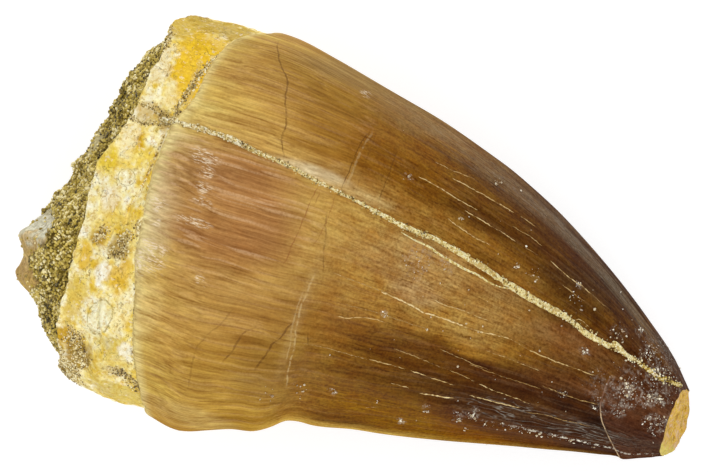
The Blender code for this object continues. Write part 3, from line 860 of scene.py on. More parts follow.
grainSettings = {
    "onRock": 8800,
    "rockRadius": (0.09, 0.21),
    "sandRadius": (0.06, 0.125),
    "seed": 71,
    # Patches of sand on the bone and along the enamel's foot: number, spread, (station, across) points.
    "patches": [
        (260, 0.26, [(10.2, 8.4), (10.2, 9.6), (10.5, 10.8), (10.8, 12), (11.1, 13.2)]),
        (120, 0.22, [(11.1, 13.2), (11.5, 14.4), (12.2, 15.4)]),
        (170, 0.24, [(6.3, 7.2), (7.3, 7.1), (8.4, 7.4), (9.8, 7.8)]),
        (170, 0.22, [(6.8, 8.7), (8.2, 8.6), (9.8, 8.2)]),
        (120, 0.32, [(7.2, -3.4), (7.5, -4), (6.9, -4.7)]),
        (260, 0.5, [(9.7, -3.2), (9.3, -4.2), (9.7, -5), (8.6, -5.4)]),
        (110, 0.24, [(10.2, -1.8), (10.5, -2.9)]),
        (520, 0.42, [(7.4, -14), (8.4, -14.6), (8.8, -15.4), (9.8, -16.2)]),
        (420, 0.3, [(5.8, -14.6), (6.9, -15.9), (8.2, -16.9), (9.9, -17.3)]),
        (400, 0.32, [(12, -15.7), (13.5, -16.1), (15.4, -16.6)]),
        (420, 0.36, [(6.8, -15.4), (7.8, -16.2), (9.4, -17)]),
        (120, 0.08, [(9.8, 6.8), (9.7, 4.5), (9.6, 3), (9.4, 1.5), (9.2, 0), (8.9, -0.7)]),
        (120, 0.3, [(6.9, 15.9), (7.3, 14.8), (7, 13.9)]),
        (60, 0.12, [(11.6, -7.4), (12.1, -8.7), (13.7, -13.3), (14.6, -14.9)]),
    ],
    # Along the long crack: number, half width and the stations between which the grains lie.
    "alongVein": [(230, 0.22, 9.6, 17.5), (190, 0.15, 17, 24), (190, 0.19, 23, 34), (420, 0.3, 33, 57.5),
                  (90, 0.3, 57.3, 62.2)],
    "dustRadius": (0.03, 0.12),
    # Flakes of white dust: number, spread, station, across.
    "dust": [
        (12, 0.25, 34.2, -2.4), (5, 0.12, 38.3, -2.5), (10, 0.12, 32.2, 10.15), (9, 0.15, 32.2, -10.8),
        (10, 0.2, 38.8, -11.3), (9, 0.2, 40.6, -9.4), (5, 0.15, 36.1, -10.1), (12, 0.35, 43.7, -9.1),
        (24, 0.32, 44.9, -8.4), (6, 0.2, 44.7, -10), (16, 0.3, 40.1, 12.4), (8, 0.2, 37.9, 8.1),
        (12, 0.25, 44.2, 5.6), (8, 0.18, 52.2, -4.1), (12, 0.25, 52.7, 0.3), (4, 0.15, 50.2, 6),
        (8, 0.2, 55.3, -4.3), (60, 0.65, 57.6, -1.7), (50, 0.5, 59.8, -1.8), (26, 0.35, 60.8, -1.7),
        (34, 0.5, 57.5, -3.9), (50, 0.5, 60.4, -4.2), (40, 0.6, 61.5, -3.6), (20, 0.7, 55.3, 2.8),
        (26, 0.6, 58.4, 2), (50, 0.5, 59.8, 0.5), (10, 0.2, 57, 3.8), (14, 0.8, 50.5, 4.5),
        (14, 0.8, 46, 5.6), (12, 0.6, 26.6, -13), (10, 0.6, 29.2, -11.8),
    ],
    # Further flakes: number, and the stations between which they lie.
    "dustOnKeel": (90, 46, 62),
    "dustAnywhere": (110, 26, 63),
    "dustBelow": (160, 46, 62),
    "dustEnd": 62,
    "dustSizePower": 2.2,  # most flakes are far smaller than the largest
    "dustStretch": (0.3, 1.5),
    "scatter": 0.6,  # of a width, to the sides of a line or a place
    "moreAbove": 2.5,  # grains on the rock's upper part, which is seen most
    "fewerOnBone": 0.985,
    "fewerOnLumps": 0.9,
    "sandStretch": (0.6, 1.15),
    "uneven": (0.85, 1.15),  # each corner of a grain is moved in or out between these shares
    "proud": 0.25,  # how far a grain stands out of the surface, as a share of its radius
    # Painted light: grains are made paler round the tooth's middle, to lift the shade there.
    "paler": (0.16, -1, 3.5),  # grains are paler round the tooth's middle: by how much, where, how wide
    "tintWander": [(1.3, 0.3, 281), (0.6, 0.2, 282)],
}


def icosahedron():
    # Its 12 corners, each 1 from the middle, are the ends of three crossed golden rectangles.
    golden = (1 + math.sqrt(5)) / 2
    corners = np.array([(-1, golden, 0), (1, golden, 0), (-1, -golden, 0), (1, -golden, 0), (0, -1, golden),
                        (0, 1, golden), (0, -1, -golden), (0, 1, -golden), (golden, 0, -1), (golden, 0, 1),
                        (-golden, 0, -1), (-golden, 0, 1)]) / math.sqrt(1 + golden**2)
    sides = np.array([(0, 11, 5), (0, 5, 1), (0, 1, 7), (0, 7, 10), (0, 10, 11), (1, 5, 9), (5, 11, 4),
                      (11, 10, 2), (10, 7, 6), (7, 1, 8), (3, 9, 4), (3, 4, 2), (3, 2, 6), (3, 6, 8),
                      (3, 8, 9), (4, 9, 5), (2, 4, 11), (6, 2, 10), (8, 6, 7), (9, 8, 1)])
    return corners, sides


def grainCloud(name, centres, normals, radii, stretch, rng):
    # Small angular stones: an icosahedron for each, stretched, turned and set into the surface.
    settings = grainSettings
    corners, sides = icosahedron()
    count = len(centres)
    sizes = rng.uniform(*stretch, (count, 1, 3)) * radii[:, None, None]
    shapes = corners[None] * sizes * rng.uniform(*settings["uneven"], (count, len(corners), 1))
    turn = np.linalg.qr(rng.normal(size=(count, 3, 3)))[0]
    turn[:, :, 0] *= np.sign(np.linalg.det(turn))[:, None]
    shapes = np.einsum("nij,nkj->nki", turn, shapes)
    points = centres[:, None] + normals[:, None] * radii[:, None, None] * settings["proud"] + shapes
    faces = np.arange(count)[:, None, None] * len(corners) + sides[None]
    piece = newPiece(name, points.reshape(-1, 3), faces.reshape(-1, 3).tolist())
    # Painted light: grains near the tooth's middle are made paler.
    amount, place, width = settings["paler"]
    paler = amount * np.exp(-((centres[:, 1] - place) / width) ** 2)
    tints = np.clip(rng.uniform(0, 1, count) + paler + lumps(centres, settings["tintWander"]), 0, 1)
    putLayer(piece.data, "tint", np.repeat(tints, len(corners)))
    # Each grain has a square of the map, and each of its sides a part of that.
    across = math.ceil(math.sqrt(count))
    cell, side = np.arange(count), np.arange(len(sides))
    square = np.stack([cell % across, cell // across], -1)[:, None, None]
    part = np.stack([side % 5 / 5, side // 5 / 4], -1)[None, :, None]
    triangle = np.array([(0.02, 0.02), (0.18, 0.02), (0.10, 0.22)])[None, None]
    putMap(piece.data, (square + part + triangle) / across)
    return piece


def spread(points, number, width, rng):
    # Random places round a line of (station, across) points.
    line = np.array(points, float)
    lengths = np.hypot(*np.diff(line, axis=0).T)
    part = rng.choice(len(lengths), number, p=lengths / lengths.sum())
    share = rng.uniform(0, 1, (number, 1))
    place = line[part] + (line[part + 1] - line[part]) * share
    return place + rng.normal(0, width * grainSettings["scatter"], (number, 2))


def outward(station, angle):
    # The outward direction of the smooth outside, from two short steps over it.
    here = skin(station, angle, 0.0)
    along = skin(station + 0.05, angle, 0.0) - here
    around = skin(station, angle + 0.004, 0.0) - here
    normal = np.cross(around, along)
    return normal / np.linalg.norm(normal, axis=-1, keepdims=True)


def rockGrains():
    settings = grainSettings
    rng = np.random.default_rng(settings["seed"])
    face = rockRings()[1]
    here, right, down = face[:-1, :-1], face[:-1, 1:], face[1:, :-1]
    normal = np.cross(down - here, right - here)
    area = np.linalg.norm(normal, axis=-1)
    normal = normal / area[..., None]
    normal = normal * -np.sign(normal[..., :1])
    bare = boneMask(here)
    for code, patch in rockSettings["lumps"]:
        bare = np.maximum(bare, settings["fewerOnLumps"] * lumpMask(here, patch))
    weight = area * (1 + settings["moreAbove"] * ease(here[..., 2], 8, 20))
    weight = (weight * (1 - settings["fewerOnBone"] * bare)).ravel()
    chosen = rng.choice(weight.size, settings["onRock"], replace=False, p=weight / weight.sum())
    radii = rng.uniform(*settings["rockRadius"], settings["onRock"])
    return grainCloud("rockGrains", here.reshape(-1, 3)[chosen], normal.reshape(-1, 3)[chosen], radii,
                      settings["sandStretch"], rng)


def looseSand():
    settings = grainSettings
    rng = np.random.default_rng(settings["seed"] + 1)
    centres, normals = [], []
    for number, width, points in settings["patches"]:
        place = spread(points, number, width, rng)
        angle = angleAt(place[:, 0], place[:, 1])
        foot = footStation(np.degrees(angle))
        rim = rimStation(np.degrees(angle), True)
        place[:, 0] = np.clip(place[:, 0], rim + 0.05, foot + 0.12)
        centres.append(skin(place[:, 0], angle, rootProud(place[:, 0], angle)))
        normals.append(outward(place[:, 0], angle))
    for number, width, first, last in settings["alongVein"]:
        station = rng.uniform(first, last, number)
        aside = rng.normal(0, width * settings["scatter"], number)
        across = smoothLine(crownSettings["veinPath"], station) + aside
        angle = angleAt(station, across)
        centres.append(skin(station, angle, -0.03))
        normals.append(outward(station, angle))
    centres, normals = np.concatenate(centres), np.concatenate(normals)
    radii = rng.uniform(*settings["sandRadius"], len(centres))
    return grainCloud("looseSand", centres, normals, radii, settings["sandStretch"], rng)


def dustFlakes():
    settings = grainSettings
    rng = np.random.default_rng(settings["seed"] + 2)
    places = [rng.normal((station, across), width * settings["scatter"], (number, 2))
              for number, width, station, across in settings["dust"]]
    number, first, last = settings["dustAnywhere"]
    station = first + (last - first) * rng.uniform(0, 1, number) ** 0.6
    middle, half = section(station)[:2]
    places.append(np.stack([station, middle + half * rng.uniform(-0.93, 0.93, number)], -1))
    place = np.concatenate(places)
    place[:, 0] = np.minimum(place[:, 0], settings["dustEnd"])
    angle = angleAt(place[:, 0], place[:, 1])
    number, first, last = settings["dustOnKeel"]
    onKeel = rng.uniform(first, last, number)
    keelAngle = np.radians(smoothLine(toothShape["rearKeel"], onKeel)) + rng.normal(0, 0.03, number)
    number, first, last = settings["dustBelow"]
    below = rng.uniform(first, last, number)
    station = np.concatenate([place[:, 0], onKeel, below])
    angle = np.concatenate([angle, keelAngle, rng.uniform(math.pi, 2 * math.pi, len(below))])
    radii = rng.uniform(0, 1, len(station)) ** settings["dustSizePower"]
    radii = settings["dustRadius"][0] + np.ptp(settings["dustRadius"]) * radii
    return grainCloud("dustFlakes", skin(station, angle, 0.0), outward(station, angle), radii,
                      settings["dustStretch"], rng)


# The sand that fills the long crack, and its thinner branch.

veinSettings = {
    "topColumns": 13,
    "underColumns": 3,
    "halfWidth": [(8.8, 0.08), (9.6, 0.19), (12, 0.22), (17, 0.22), (19, 0.17), (24, 0.16), (27, 0.17),
                  (30, 0.19), (32, 0.27), (34, 0.25), (37, 0.2), (39, 0.25), (42, 0.29), (45, 0.36),
                  (48, 0.34), (51, 0.27), (54, 0.26), (55.2, 0.26), (56.2, 0.19), (57.3, 0.2),
                  (58.2, 0.16), (58.8, 0.22), (59.4, 0.1), (60, 0.16), (60.6, 0.24), (61.1, 0.1),
                  (61.7, 0.2), (62.4, 0.14)],
    "strandHalfWidth": [(33.2, 0.05), (35, 0.09), (37, 0.12), (41, 0.11), (43, 0.09), (44.6, 0.05)],
    "height": 0.04,
    "relief": [(0.5, 0.05, 81), (0.2, 0.035, 82)],
    "wander": [(1.8, 0.09, 85), (0.45, 0.07, 86), (0.2, 0.035, 87)],
    # Where the crack steps aside, by how much, and where it is back in line. The branch has no such place.
    "jog": (54.8, 0.33, 56.6),
    "noJog": (99, 0, 100),
    "steps": 1100,
    "strandSteps": 260,
    "edgeDrop": 0.16,  # how far the ridge dips at its edges
    "depth": 0.6,
}


def veinPiece(name, path, halfWidth, steps, jog):
    # A shallow ridge along the crack: height falls with the fourth power of the way to each ragged edge.
    settings = veinSettings
    first, last = halfWidth[0][0], halfWidth[-1][0]
    station = np.linspace(first, last, steps)[:, None]
    top, under = settings["topColumns"], settings["underColumns"]
    side = np.concatenate([np.linspace(1, -1, top), np.linspace(-1, 1, under + 2)[1:-1]])[None]
    isTop = (np.arange(top + under) < top)[None]
    half = smoothLine(halfWidth, station)
    still = 0 * (station + side)
    edge = lumps(np.stack([station + still, 9 * np.sign(side) + still, still], -1), settings["wander"])
    edge = np.abs(side) * edge * np.minimum(half / 0.3, 1)
    aside = jog[1] * (ease(station, jog[0], jog[0] + 0.12) - ease(station, jog[0] + 0.3, jog[2]))
    across = smoothLine(path, station) + aside + side * half + np.sign(side) * edge
    angle = angleAt(station, across)
    spot = skin(station + still, angle, 0.0)
    height = settings["height"] * (1 - side**4) + lumps(spot, settings["relief"])
    height = height - settings["edgeDrop"] * np.abs(side) ** 6
    rings = skin(station + still, angle, np.where(isTop, height, -settings["depth"]))
    return toMesh(name, rings, rings[0].mean(axis=0), rings[-1].mean(axis=0), {})


# Pale hairline cracks, filled with the finest dust, that run along the tooth.

hairlineSettings = {
    "step": 0.07,
    "taper": 0.5,
    "width": 0.56,
    "height": 0.018,
    "wander": [(2.5, 0.04, 251), (0.8, 0.035, 252), (0.25, 0.03, 253)],
    "swelling": [(2.6, 0.35, 254), (0.7, 0.4, 255), (0.2, 0.55, 256)],  # changes the width, and makes dashes
    "widthRange": (0.25, 1.2),
    # Strength, half width, then (station, across) points.
    "lines": [
        (0.5, 0.06, [(28.5, -0.4), (30, -0.5), (32, -0.5), (33.5, -0.55), (34.5, -0.7)]),
        (0.95, 0.1, [(33.2, -0.6), (34.5, -0.7), (36, -0.85), (37.3, -1.1), (39, -1.1), (41, -1.15),
                     (43, -1.1), (45, -0.95)]),
        (0.75, 0.07, [(44.8, -0.95), (46, -0.9), (47, -1.1), (48.5, -1.35), (50, -1.45), (52, -1.5),
                      (54.4, -1.55)]),
        (0.8, 0.06, [(37.8, 0.25), (39, 0.15), (40.5, 0.2), (42, 0.1), (43.5, 0)]),
        (0.75, 0.06, [(30, -4.1), (31, -3.95), (32, -3.5), (33, -3.25), (34.5, -3.15)]),
        (0.35, 0.05, [(30.5, -2.8), (32, -2.65), (34, -2.5), (36, -2.55), (38.4, -2.5)]),
        (0.4, 0.05, [(28, -7.4), (30, -7.15), (32, -7), (34, -6.9)]),
        (0.7, 0.06, [(34.2, -6.85), (36.2, -6.7), (37.6, -6.6)]),
        (0.8, 0.07, [(38, -6.65), (40, -6.6), (42.5, -6.6)]),
        (0.85, 0.06, [(36.8, -8.2), (38.5, -8.05)]),
        (0.95, 0.08, [(39.6, -8.25), (41, -7.95), (42, -7.8), (42.8, -7.6)]),
        (0.5, 0.05, [(35.3, -11.1), (36, -10.8), (36.5, -10.6)]),
        (0.55, 0.05, [(36, -5.2), (38.5, -5.25), (41, -5.4), (44, -5.65)]),
        (0.45, 0.05, [(40, -3.9), (42, -4), (44, -4.2), (45, -4.2)]),
        (0.9, 0.06, [(44.5, -5.75), (46, -5.9), (47.5, -5.85), (49.5, -5.95)]),
        (0.85, 0.06, [(44, -7), (46, -6.85), (48, -6.65), (49, -6.5)]),
        (0.35, 0.05, [(49.5, -6.75), (51, -6.45), (53, -6.3), (55.5, -6.1)]),
        (0.3, 0.05, [(43, -4.3), (46, -4.4), (50, -4.3)]),
        (0.5, 0.06, [(50, -4), (52, -4.1), (54, -4.15), (55.6, -4)]),
        (0.7, 0.05, [(44, -2.6), (46, -2.65), (49.5, -2.8)]),
        (0.6, 0.05, [(34, 12.35), (35.5, 12.15), (38, 11.95)]),
        (0.75, 0.06, [(36, 11.4), (37.4, 11.2), (39.1, 10.9), (40.5, 10.65), (42.4, 10.25)]),
        (0.8, 0.06, [(33, 10.55), (34.9, 10.2), (36.9, 9.8), (38.3, 9.55), (39.2, 9.4)]),
        (0.8, 0.06, [(38, 8.98), (39.7, 8.6), (41, 8.3), (42.4, 8.03), (43.4, 7.72)]),
        (0.75, 0.06, [(36.8, 7.7), (38, 7.33), (39.1, 7.05), (40.2, 6.83), (41.3, 6.62)]),
        (0.5, 0.05, [(42.7, 9), (43.6, 8.8), (44.7, 8.58), (45.8, 8.15)]),
        (0.55, 0.05, [(43.1, 10.1), (44.7, 9.6)]),
        (0.4, 0.05, [(44.3, 7.5), (45.8, 7.2)]),
        (0.85, 0.06, [(47, 7.12), (48.3, 6.55), (49.7, 6.08), (50.5, 5.94), (51.6, 5.5), (53.3, 4.83)]),
        (0.55, 0.05, [(48.8, 5.4), (50.2, 4.97), (51.2, 4.7)]),
        (0.8, 0.05, [(50.6, 2.6), (51.5, 2.9), (52.6, 2.4)]),
    ],
}


def hairlines():
    # One thin closed ribbon for each crack. Its width swells and fades along the way and tapers at both ends.
    settings = hairlineSettings
    side = np.array([1, 0.5, 0, -0.5, -1, 0])
    above = np.array([0, 1, 1.3, 1, 0, -4])
    points, faces, tints, count = [], [], [], 0
    for number, (strength, half, path) in enumerate(settings["lines"]):
        first, last = path[0][0], path[-1][0]
        station = np.linspace(first, last, int((last - first) / settings["step"]))[:, None]
        spot = np.concatenate([station, 0 * station + 5 * number, 0 * station], -1)
        swelling = np.clip(0.85 + lumps(spot, settings["swelling"]), *settings["widthRange"])[:, None]
        taper = np.clip(np.minimum(station - first, last - station) / settings["taper"], 0.02, 1) ** 0.6
        width = settings["width"] * half * swelling * taper
        across = smoothLine(path, station) + lumps(spot, settings["wander"])[:, None] + side * width
        angle = angleAt(station, across)
        station = station + 0 * across
        height = settings["height"] * above * np.minimum(swelling, 1)
        rings = skin(station, angle, crownProud(station, angle) + height)
        rows, columns = across.shape
        index = count + np.arange(rows * columns).reshape(rows, columns)
        after = np.roll(index, -1, axis=1)
        faces += np.stack([index[:-1], after[:-1], after[1:], index[1:]], -1).reshape(-1, 4).tolist()
        faces += [index[0, ::-1].tolist(), index[-1].tolist()]
        points.append(rings.reshape(-1, 3))
        tints.append(np.repeat(strength * np.minimum(swelling, 1)[:, 0], columns))
        count += rows * columns
    piece = newPiece("hairlines", np.concatenate(points), faces)
    putLayer(piece.data, "tint", np.concatenate(tints))
    return piece


# Paint.

class Wire:
    # An output socket that can be used in sums: each sum adds a Math node.
    def __init__(self, paint, socket):
        self.paint = paint
        self.socket = socket

    def maths(self, operation, *values):
        return self.paint.node("ShaderNodeMath", {"operation": operation}, values)

    def __add__(self, other):
        return self.maths("ADD", self, other)

    def __radd__(self, other):
        return self.maths("ADD", other, self)

    def __sub__(self, other):
        return self.maths("SUBTRACT", self, other)

    def __rsub__(self, other):
        return self.maths("SUBTRACT", other, self)

    def __rtruediv__(self, other):
        return self.maths("DIVIDE", other, self)

    def __mul__(self, other):
        return self.maths("MULTIPLY", self, other)

    def __rmul__(self, other):
        return self.maths("MULTIPLY", other, self)

    def __abs__(self):
        return self.maths("ABSOLUTE", self)


def tint(code):
    return (*linear(code), 1.0)


class Paint:
    # The nodes of one material, with the tooth's own measures in mm ready to use.
    def __init__(self, name, roughness, specular):
        self.material = bpy.data.materials.new(name)
        self.material.use_nodes = True
        self.tree = self.material.node_tree
        self.shader = self.tree.nodes["Principled BSDF"]
        self.shader.inputs["Roughness"].default_value = roughness
        self.shader.inputs["Specular IOR Level"].default_value = specular
        place = self.node("ShaderNodeTexCoord", {}, (), "Object")
        self.place = self.scaled(place, (1000, 1000, 1000), (toothShape["restStation"], 0, 0))
        self.station, self.across, self.height = self.parts(self.place)

    def node(self, kind, settings, values=(), output=0):
        made = self.tree.nodes.new(kind)
        for key, value in settings.items():
            if key == "stops":
                ramp = made.color_ramp
                while len(ramp.elements) < len(value):
                    ramp.elements.new(0.5)
                for element, (position, code) in zip(ramp.elements, value):
                    element.position, element.color = position, tint(code)
            elif key == "line":
                curve = made.mapping.curves[0]
                while len(curve.points) < len(value):
                    curve.points.new(0.5, 0.5)
                for point, spot in zip(curve.points, value):
                    point.location = spot
                made.mapping.update()
            else:
                setattr(made, key, value)
        for place, value in values.items() if isinstance(values, dict) else enumerate(values):
            self.put(value, made.inputs[place])
        return Wire(self, made.outputs[output])

    def put(self, value, socket):
        if isinstance(value, Wire):
            self.tree.links.new(value.socket, socket)
        else:
            socket.default_value = value

    def feed(self, name, value):
        self.put(value, self.shader.inputs[name])

    def attribute(self, name, output="Vector"):
        return self.node("ShaderNodeAttribute", {"attribute_name": name}, (), output)

    def parts(self, vector):
        return [self.node("ShaderNodeSeparateXYZ", {}, [vector], k) for k in range(3)]

    def joined(self, x, y, z):
        return self.node("ShaderNodeCombineXYZ", {}, (x, y, z))

    def fade(self, value, low, high, fromValue=0.0, toValue=1.0):
        return self.node("ShaderNodeMapRange", {"interpolation_type": "SMOOTHSTEP"},
                         (value, low, high, fromValue, toValue))

    def fadeOut(self, value, low, high):
        return self.fade(value, low, high, 1.0, 0.0)

    def noise(self, vector, scale=1.0, detail=2.0, roughness=0.5):
        return self.node("ShaderNodeTexNoise", {},
                         {"Vector": vector, "Scale": scale, "Detail": detail, "Roughness": roughness})

    def cloud(self, factors, shift=(0, 0, 0), scale=1.0, detail=2.0, roughness=0.5):
        # Noise on the tooth's own place, stretched and moved.
        return self.noise(self.scaled(self.place, factors, shift), scale, detail, roughness)

    def cells(self, vector, scale, output="Distance"):
        return self.node("ShaderNodeTexVoronoi", {}, {"Vector": vector, "Scale": scale}, output)

    def scaled(self, vector, factors, shift=(0, 0, 0)):
        return self.node("ShaderNodeVectorMath", {"operation": "MULTIPLY_ADD"}, (vector, factors, shift))

    def mix(self, factor, one, two):
        return self.node("ShaderNodeMix", {"data_type": "RGBA"}, {0: factor, 6: one, 7: two}, 2)

    def over(self, colour, mask, code):
        # A web colour laid over another, where the mask is.
        return self.mix(mask, colour, tint(code))

    def between(self, factor, one, two):
        return self.node("ShaderNodeMix", {"data_type": "FLOAT"}, {0: factor, 2: one, 3: two})

    def ramp(self, value, stops):
        return self.node("ShaderNodeValToRGB", {"stops": stops}, [value])

    def shaded(self, colour, change, weights):
        # As the function of that name does with arrays.
        factors = self.joined(*(1.0 + change * weight for weight in weights))
        return self.node("ShaderNodeVectorMath", {"operation": "MULTIPLY"}, (colour, factors))

    def line(self, value, points):
        # A smooth line through (place, value) points, with the ends held.
        places, values = np.array(points, float).T
        low, span = places[0], places[-1] - places[0]
        least, rise = float(values.min()) - 0.01, float(np.ptp(values)) + 0.02
        spots = [((x - low) / span, (y - least) / rise) for x, y in zip(places, values)]
        share = self.node("ShaderNodeMapRange", {}, (value, low, low + span, 0.0, 1.0))
        return self.node("ShaderNodeFloatCurve", {"line": spots}, (1.0, share)) * rise + least

    def crack(self, along, across, points, half, wobble, ends=0.5):
        # A thin line along (place, value) points that wanders, and thins out over its ends.
        off = abs(across - self.line(along, points) - wobble)
        first, last = points[0][0], points[-1][0]
        begun = self.fade(along, first - ends, first + ends)
        inside = begun * self.fadeOut(along, last - ends, last + ends)
        return self.fadeOut(off, half * 0.4, half * 1.15) * inside

    def cracks(self, along, across, lines, wobble):
        # The strongest of several cracks, each as (strength, half width, points).
        strongest = None
        for strength, half, points in lines:
            mask = self.crack(along, across, points, half, wobble) * strength
            strongest = mask if strongest is None else self.most(strongest, mask)
        return strongest

    def most(self, one, two):
        return one.maths("MAXIMUM", one, two)

    def bump(self, height, distance, strength=1.0):
        values = {"Height": height, "Distance": distance, "Strength": strength}
        self.feed("Normal", self.node("ShaderNodeBump", {}, values))


enamelPaint = {
    "roughness": 0.45,
    "coat": 0.12,
    "coatRoughness": 0.3,
    "fineAmount": [(10, 0.8), (14, 1.25), (24, 1.3), (30, 1.55), (40, 1.8), (52, 1.9), (64, 2)],
    # Strands of noise that run in the rays of the cone: how fast they change along and across the tooth, then
    # the noise's detail and roughness.
    "hair": (0.55, 4.6, 2, 0.6),
    "footHair": (0.11, 4.8, 2, 0.55),
    "tipHair": (1.3, 1.9, 3, 0.7),
    "flow": (0.07, 2.3, 2, 0.4),
    "threads": (0.25, 1.6, 2, 0.5),
    "streak": (1.9, 3, 0.6),
    "patchWeights": (0.35, 0.9, 1.7),
    "alongStreaks": [(0, 0), (22, 2.2), (32, 3.9), (64, 10.9)],  # the streaks are longest near the root
    "paleLine": "#DDB68A",
    "sheenLine": "#9C978A",
    "darkCrack": "#5E3814",
    "redCrack": "#8A4A24",
    "wornLine": "#D9C08A",
    "pointCrack": ("#84604C", "#D2B48C"),  # on the upper part and near the rear keel
    "dust": "#DDD6C6",
    # The painted glint and the painted highlight along the rear keel.
    "glint": "#F0DDBE",
    "keelHighlight": "#F0E8D4",
    # Cracks across the tooth: strength, half width, then (across, station) points.
    "dark": [
        (0.55, 0.1, [(8.2, 20.8), (9, 20.35), (10, 20), (11, 20), (12, 19.7), (13, 19.2), (14, 19),
                     (15, 18.7), (15.8, 18), (16.7, 17.3), (17.8, 16.8)]),
        (0.6, 0.06, [(7.3, 26.75), (8.5, 26.8), (10, 26.9), (11.5, 27), (12.8, 27.4)]),
        (0.45, 0.06, [(7.2, 30.3), (8.5, 30.3), (10.3, 30.4), (12, 30.3)]),
        (0.2, 0.06, [(7.5, 28.1), (10, 28), (12.9, 28.1)]),
        (0.4, 0.09, [(-0.5, 27.6), (1, 27.1), (2.5, 26.8), (3.5, 26.4), (4.5, 26.2)]),
        (0.6, 0.11, [(-11, 24.6), (-10, 24.9), (-9.2, 25.2), (-8.3, 25.4), (-7.5, 25.9), (-6.6, 26.2),
                     (-5.8, 26.6)]),
        (0.45, 0.11, [(-11.4, 21.6), (-10, 22.1), (-9, 22.3), (-8.2, 22.6), (-7.5, 23.4)]),
        (0.25, 0.1, [(-14.5, 19.3), (-13, 19.1), (-11.3, 18.9), (-10, 19.3), (-9.2, 19.7), (-8, 20.4),
                     (-6.5, 20.9)]),
        (0.5, 0.08, [(-7.4, 28.5), (-6.9, 28.3), (-6.3, 28.2)]),
    ],
    "red": [
        (0.5, 0.07, [(-1, 23.9), (0, 24.1), (1.5, 24.2), (3, 24.3), (4.5, 24.4), (6.5, 24.6)]),
        (0.4, 0.06, [(5, 24.9), (5.6, 24.95), (6.3, 24.9)]),
        (0.35, 0.06, [(1.5, 26), (3, 26.3), (4.5, 26.4), (6.2, 26.3)]),
    ],
    # Worn, paler lines across the tooth.
    "worn": [
        (0.34, 0.1, [(-11.5, 27.8), (-9.5, 27.45), (-8, 27.3), (-6.5, 27), (-5.5, 26.85), (-4.5, 26.75),
                     (-3, 26.8), (-1.2, 26.9)]),
        (0.22, 0.08, [(-9.5, 27.05), (-8, 26.9), (-6.5, 26.6), (-5.5, 26.5), (-4.5, 26.45), (-3, 26.45)]),
        (0.22, 0.14, [(7.3, 27.1), (8.5, 27.15), (10, 27.2), (11.5, 27.35), (12.8, 27.7)]),
    ],
}


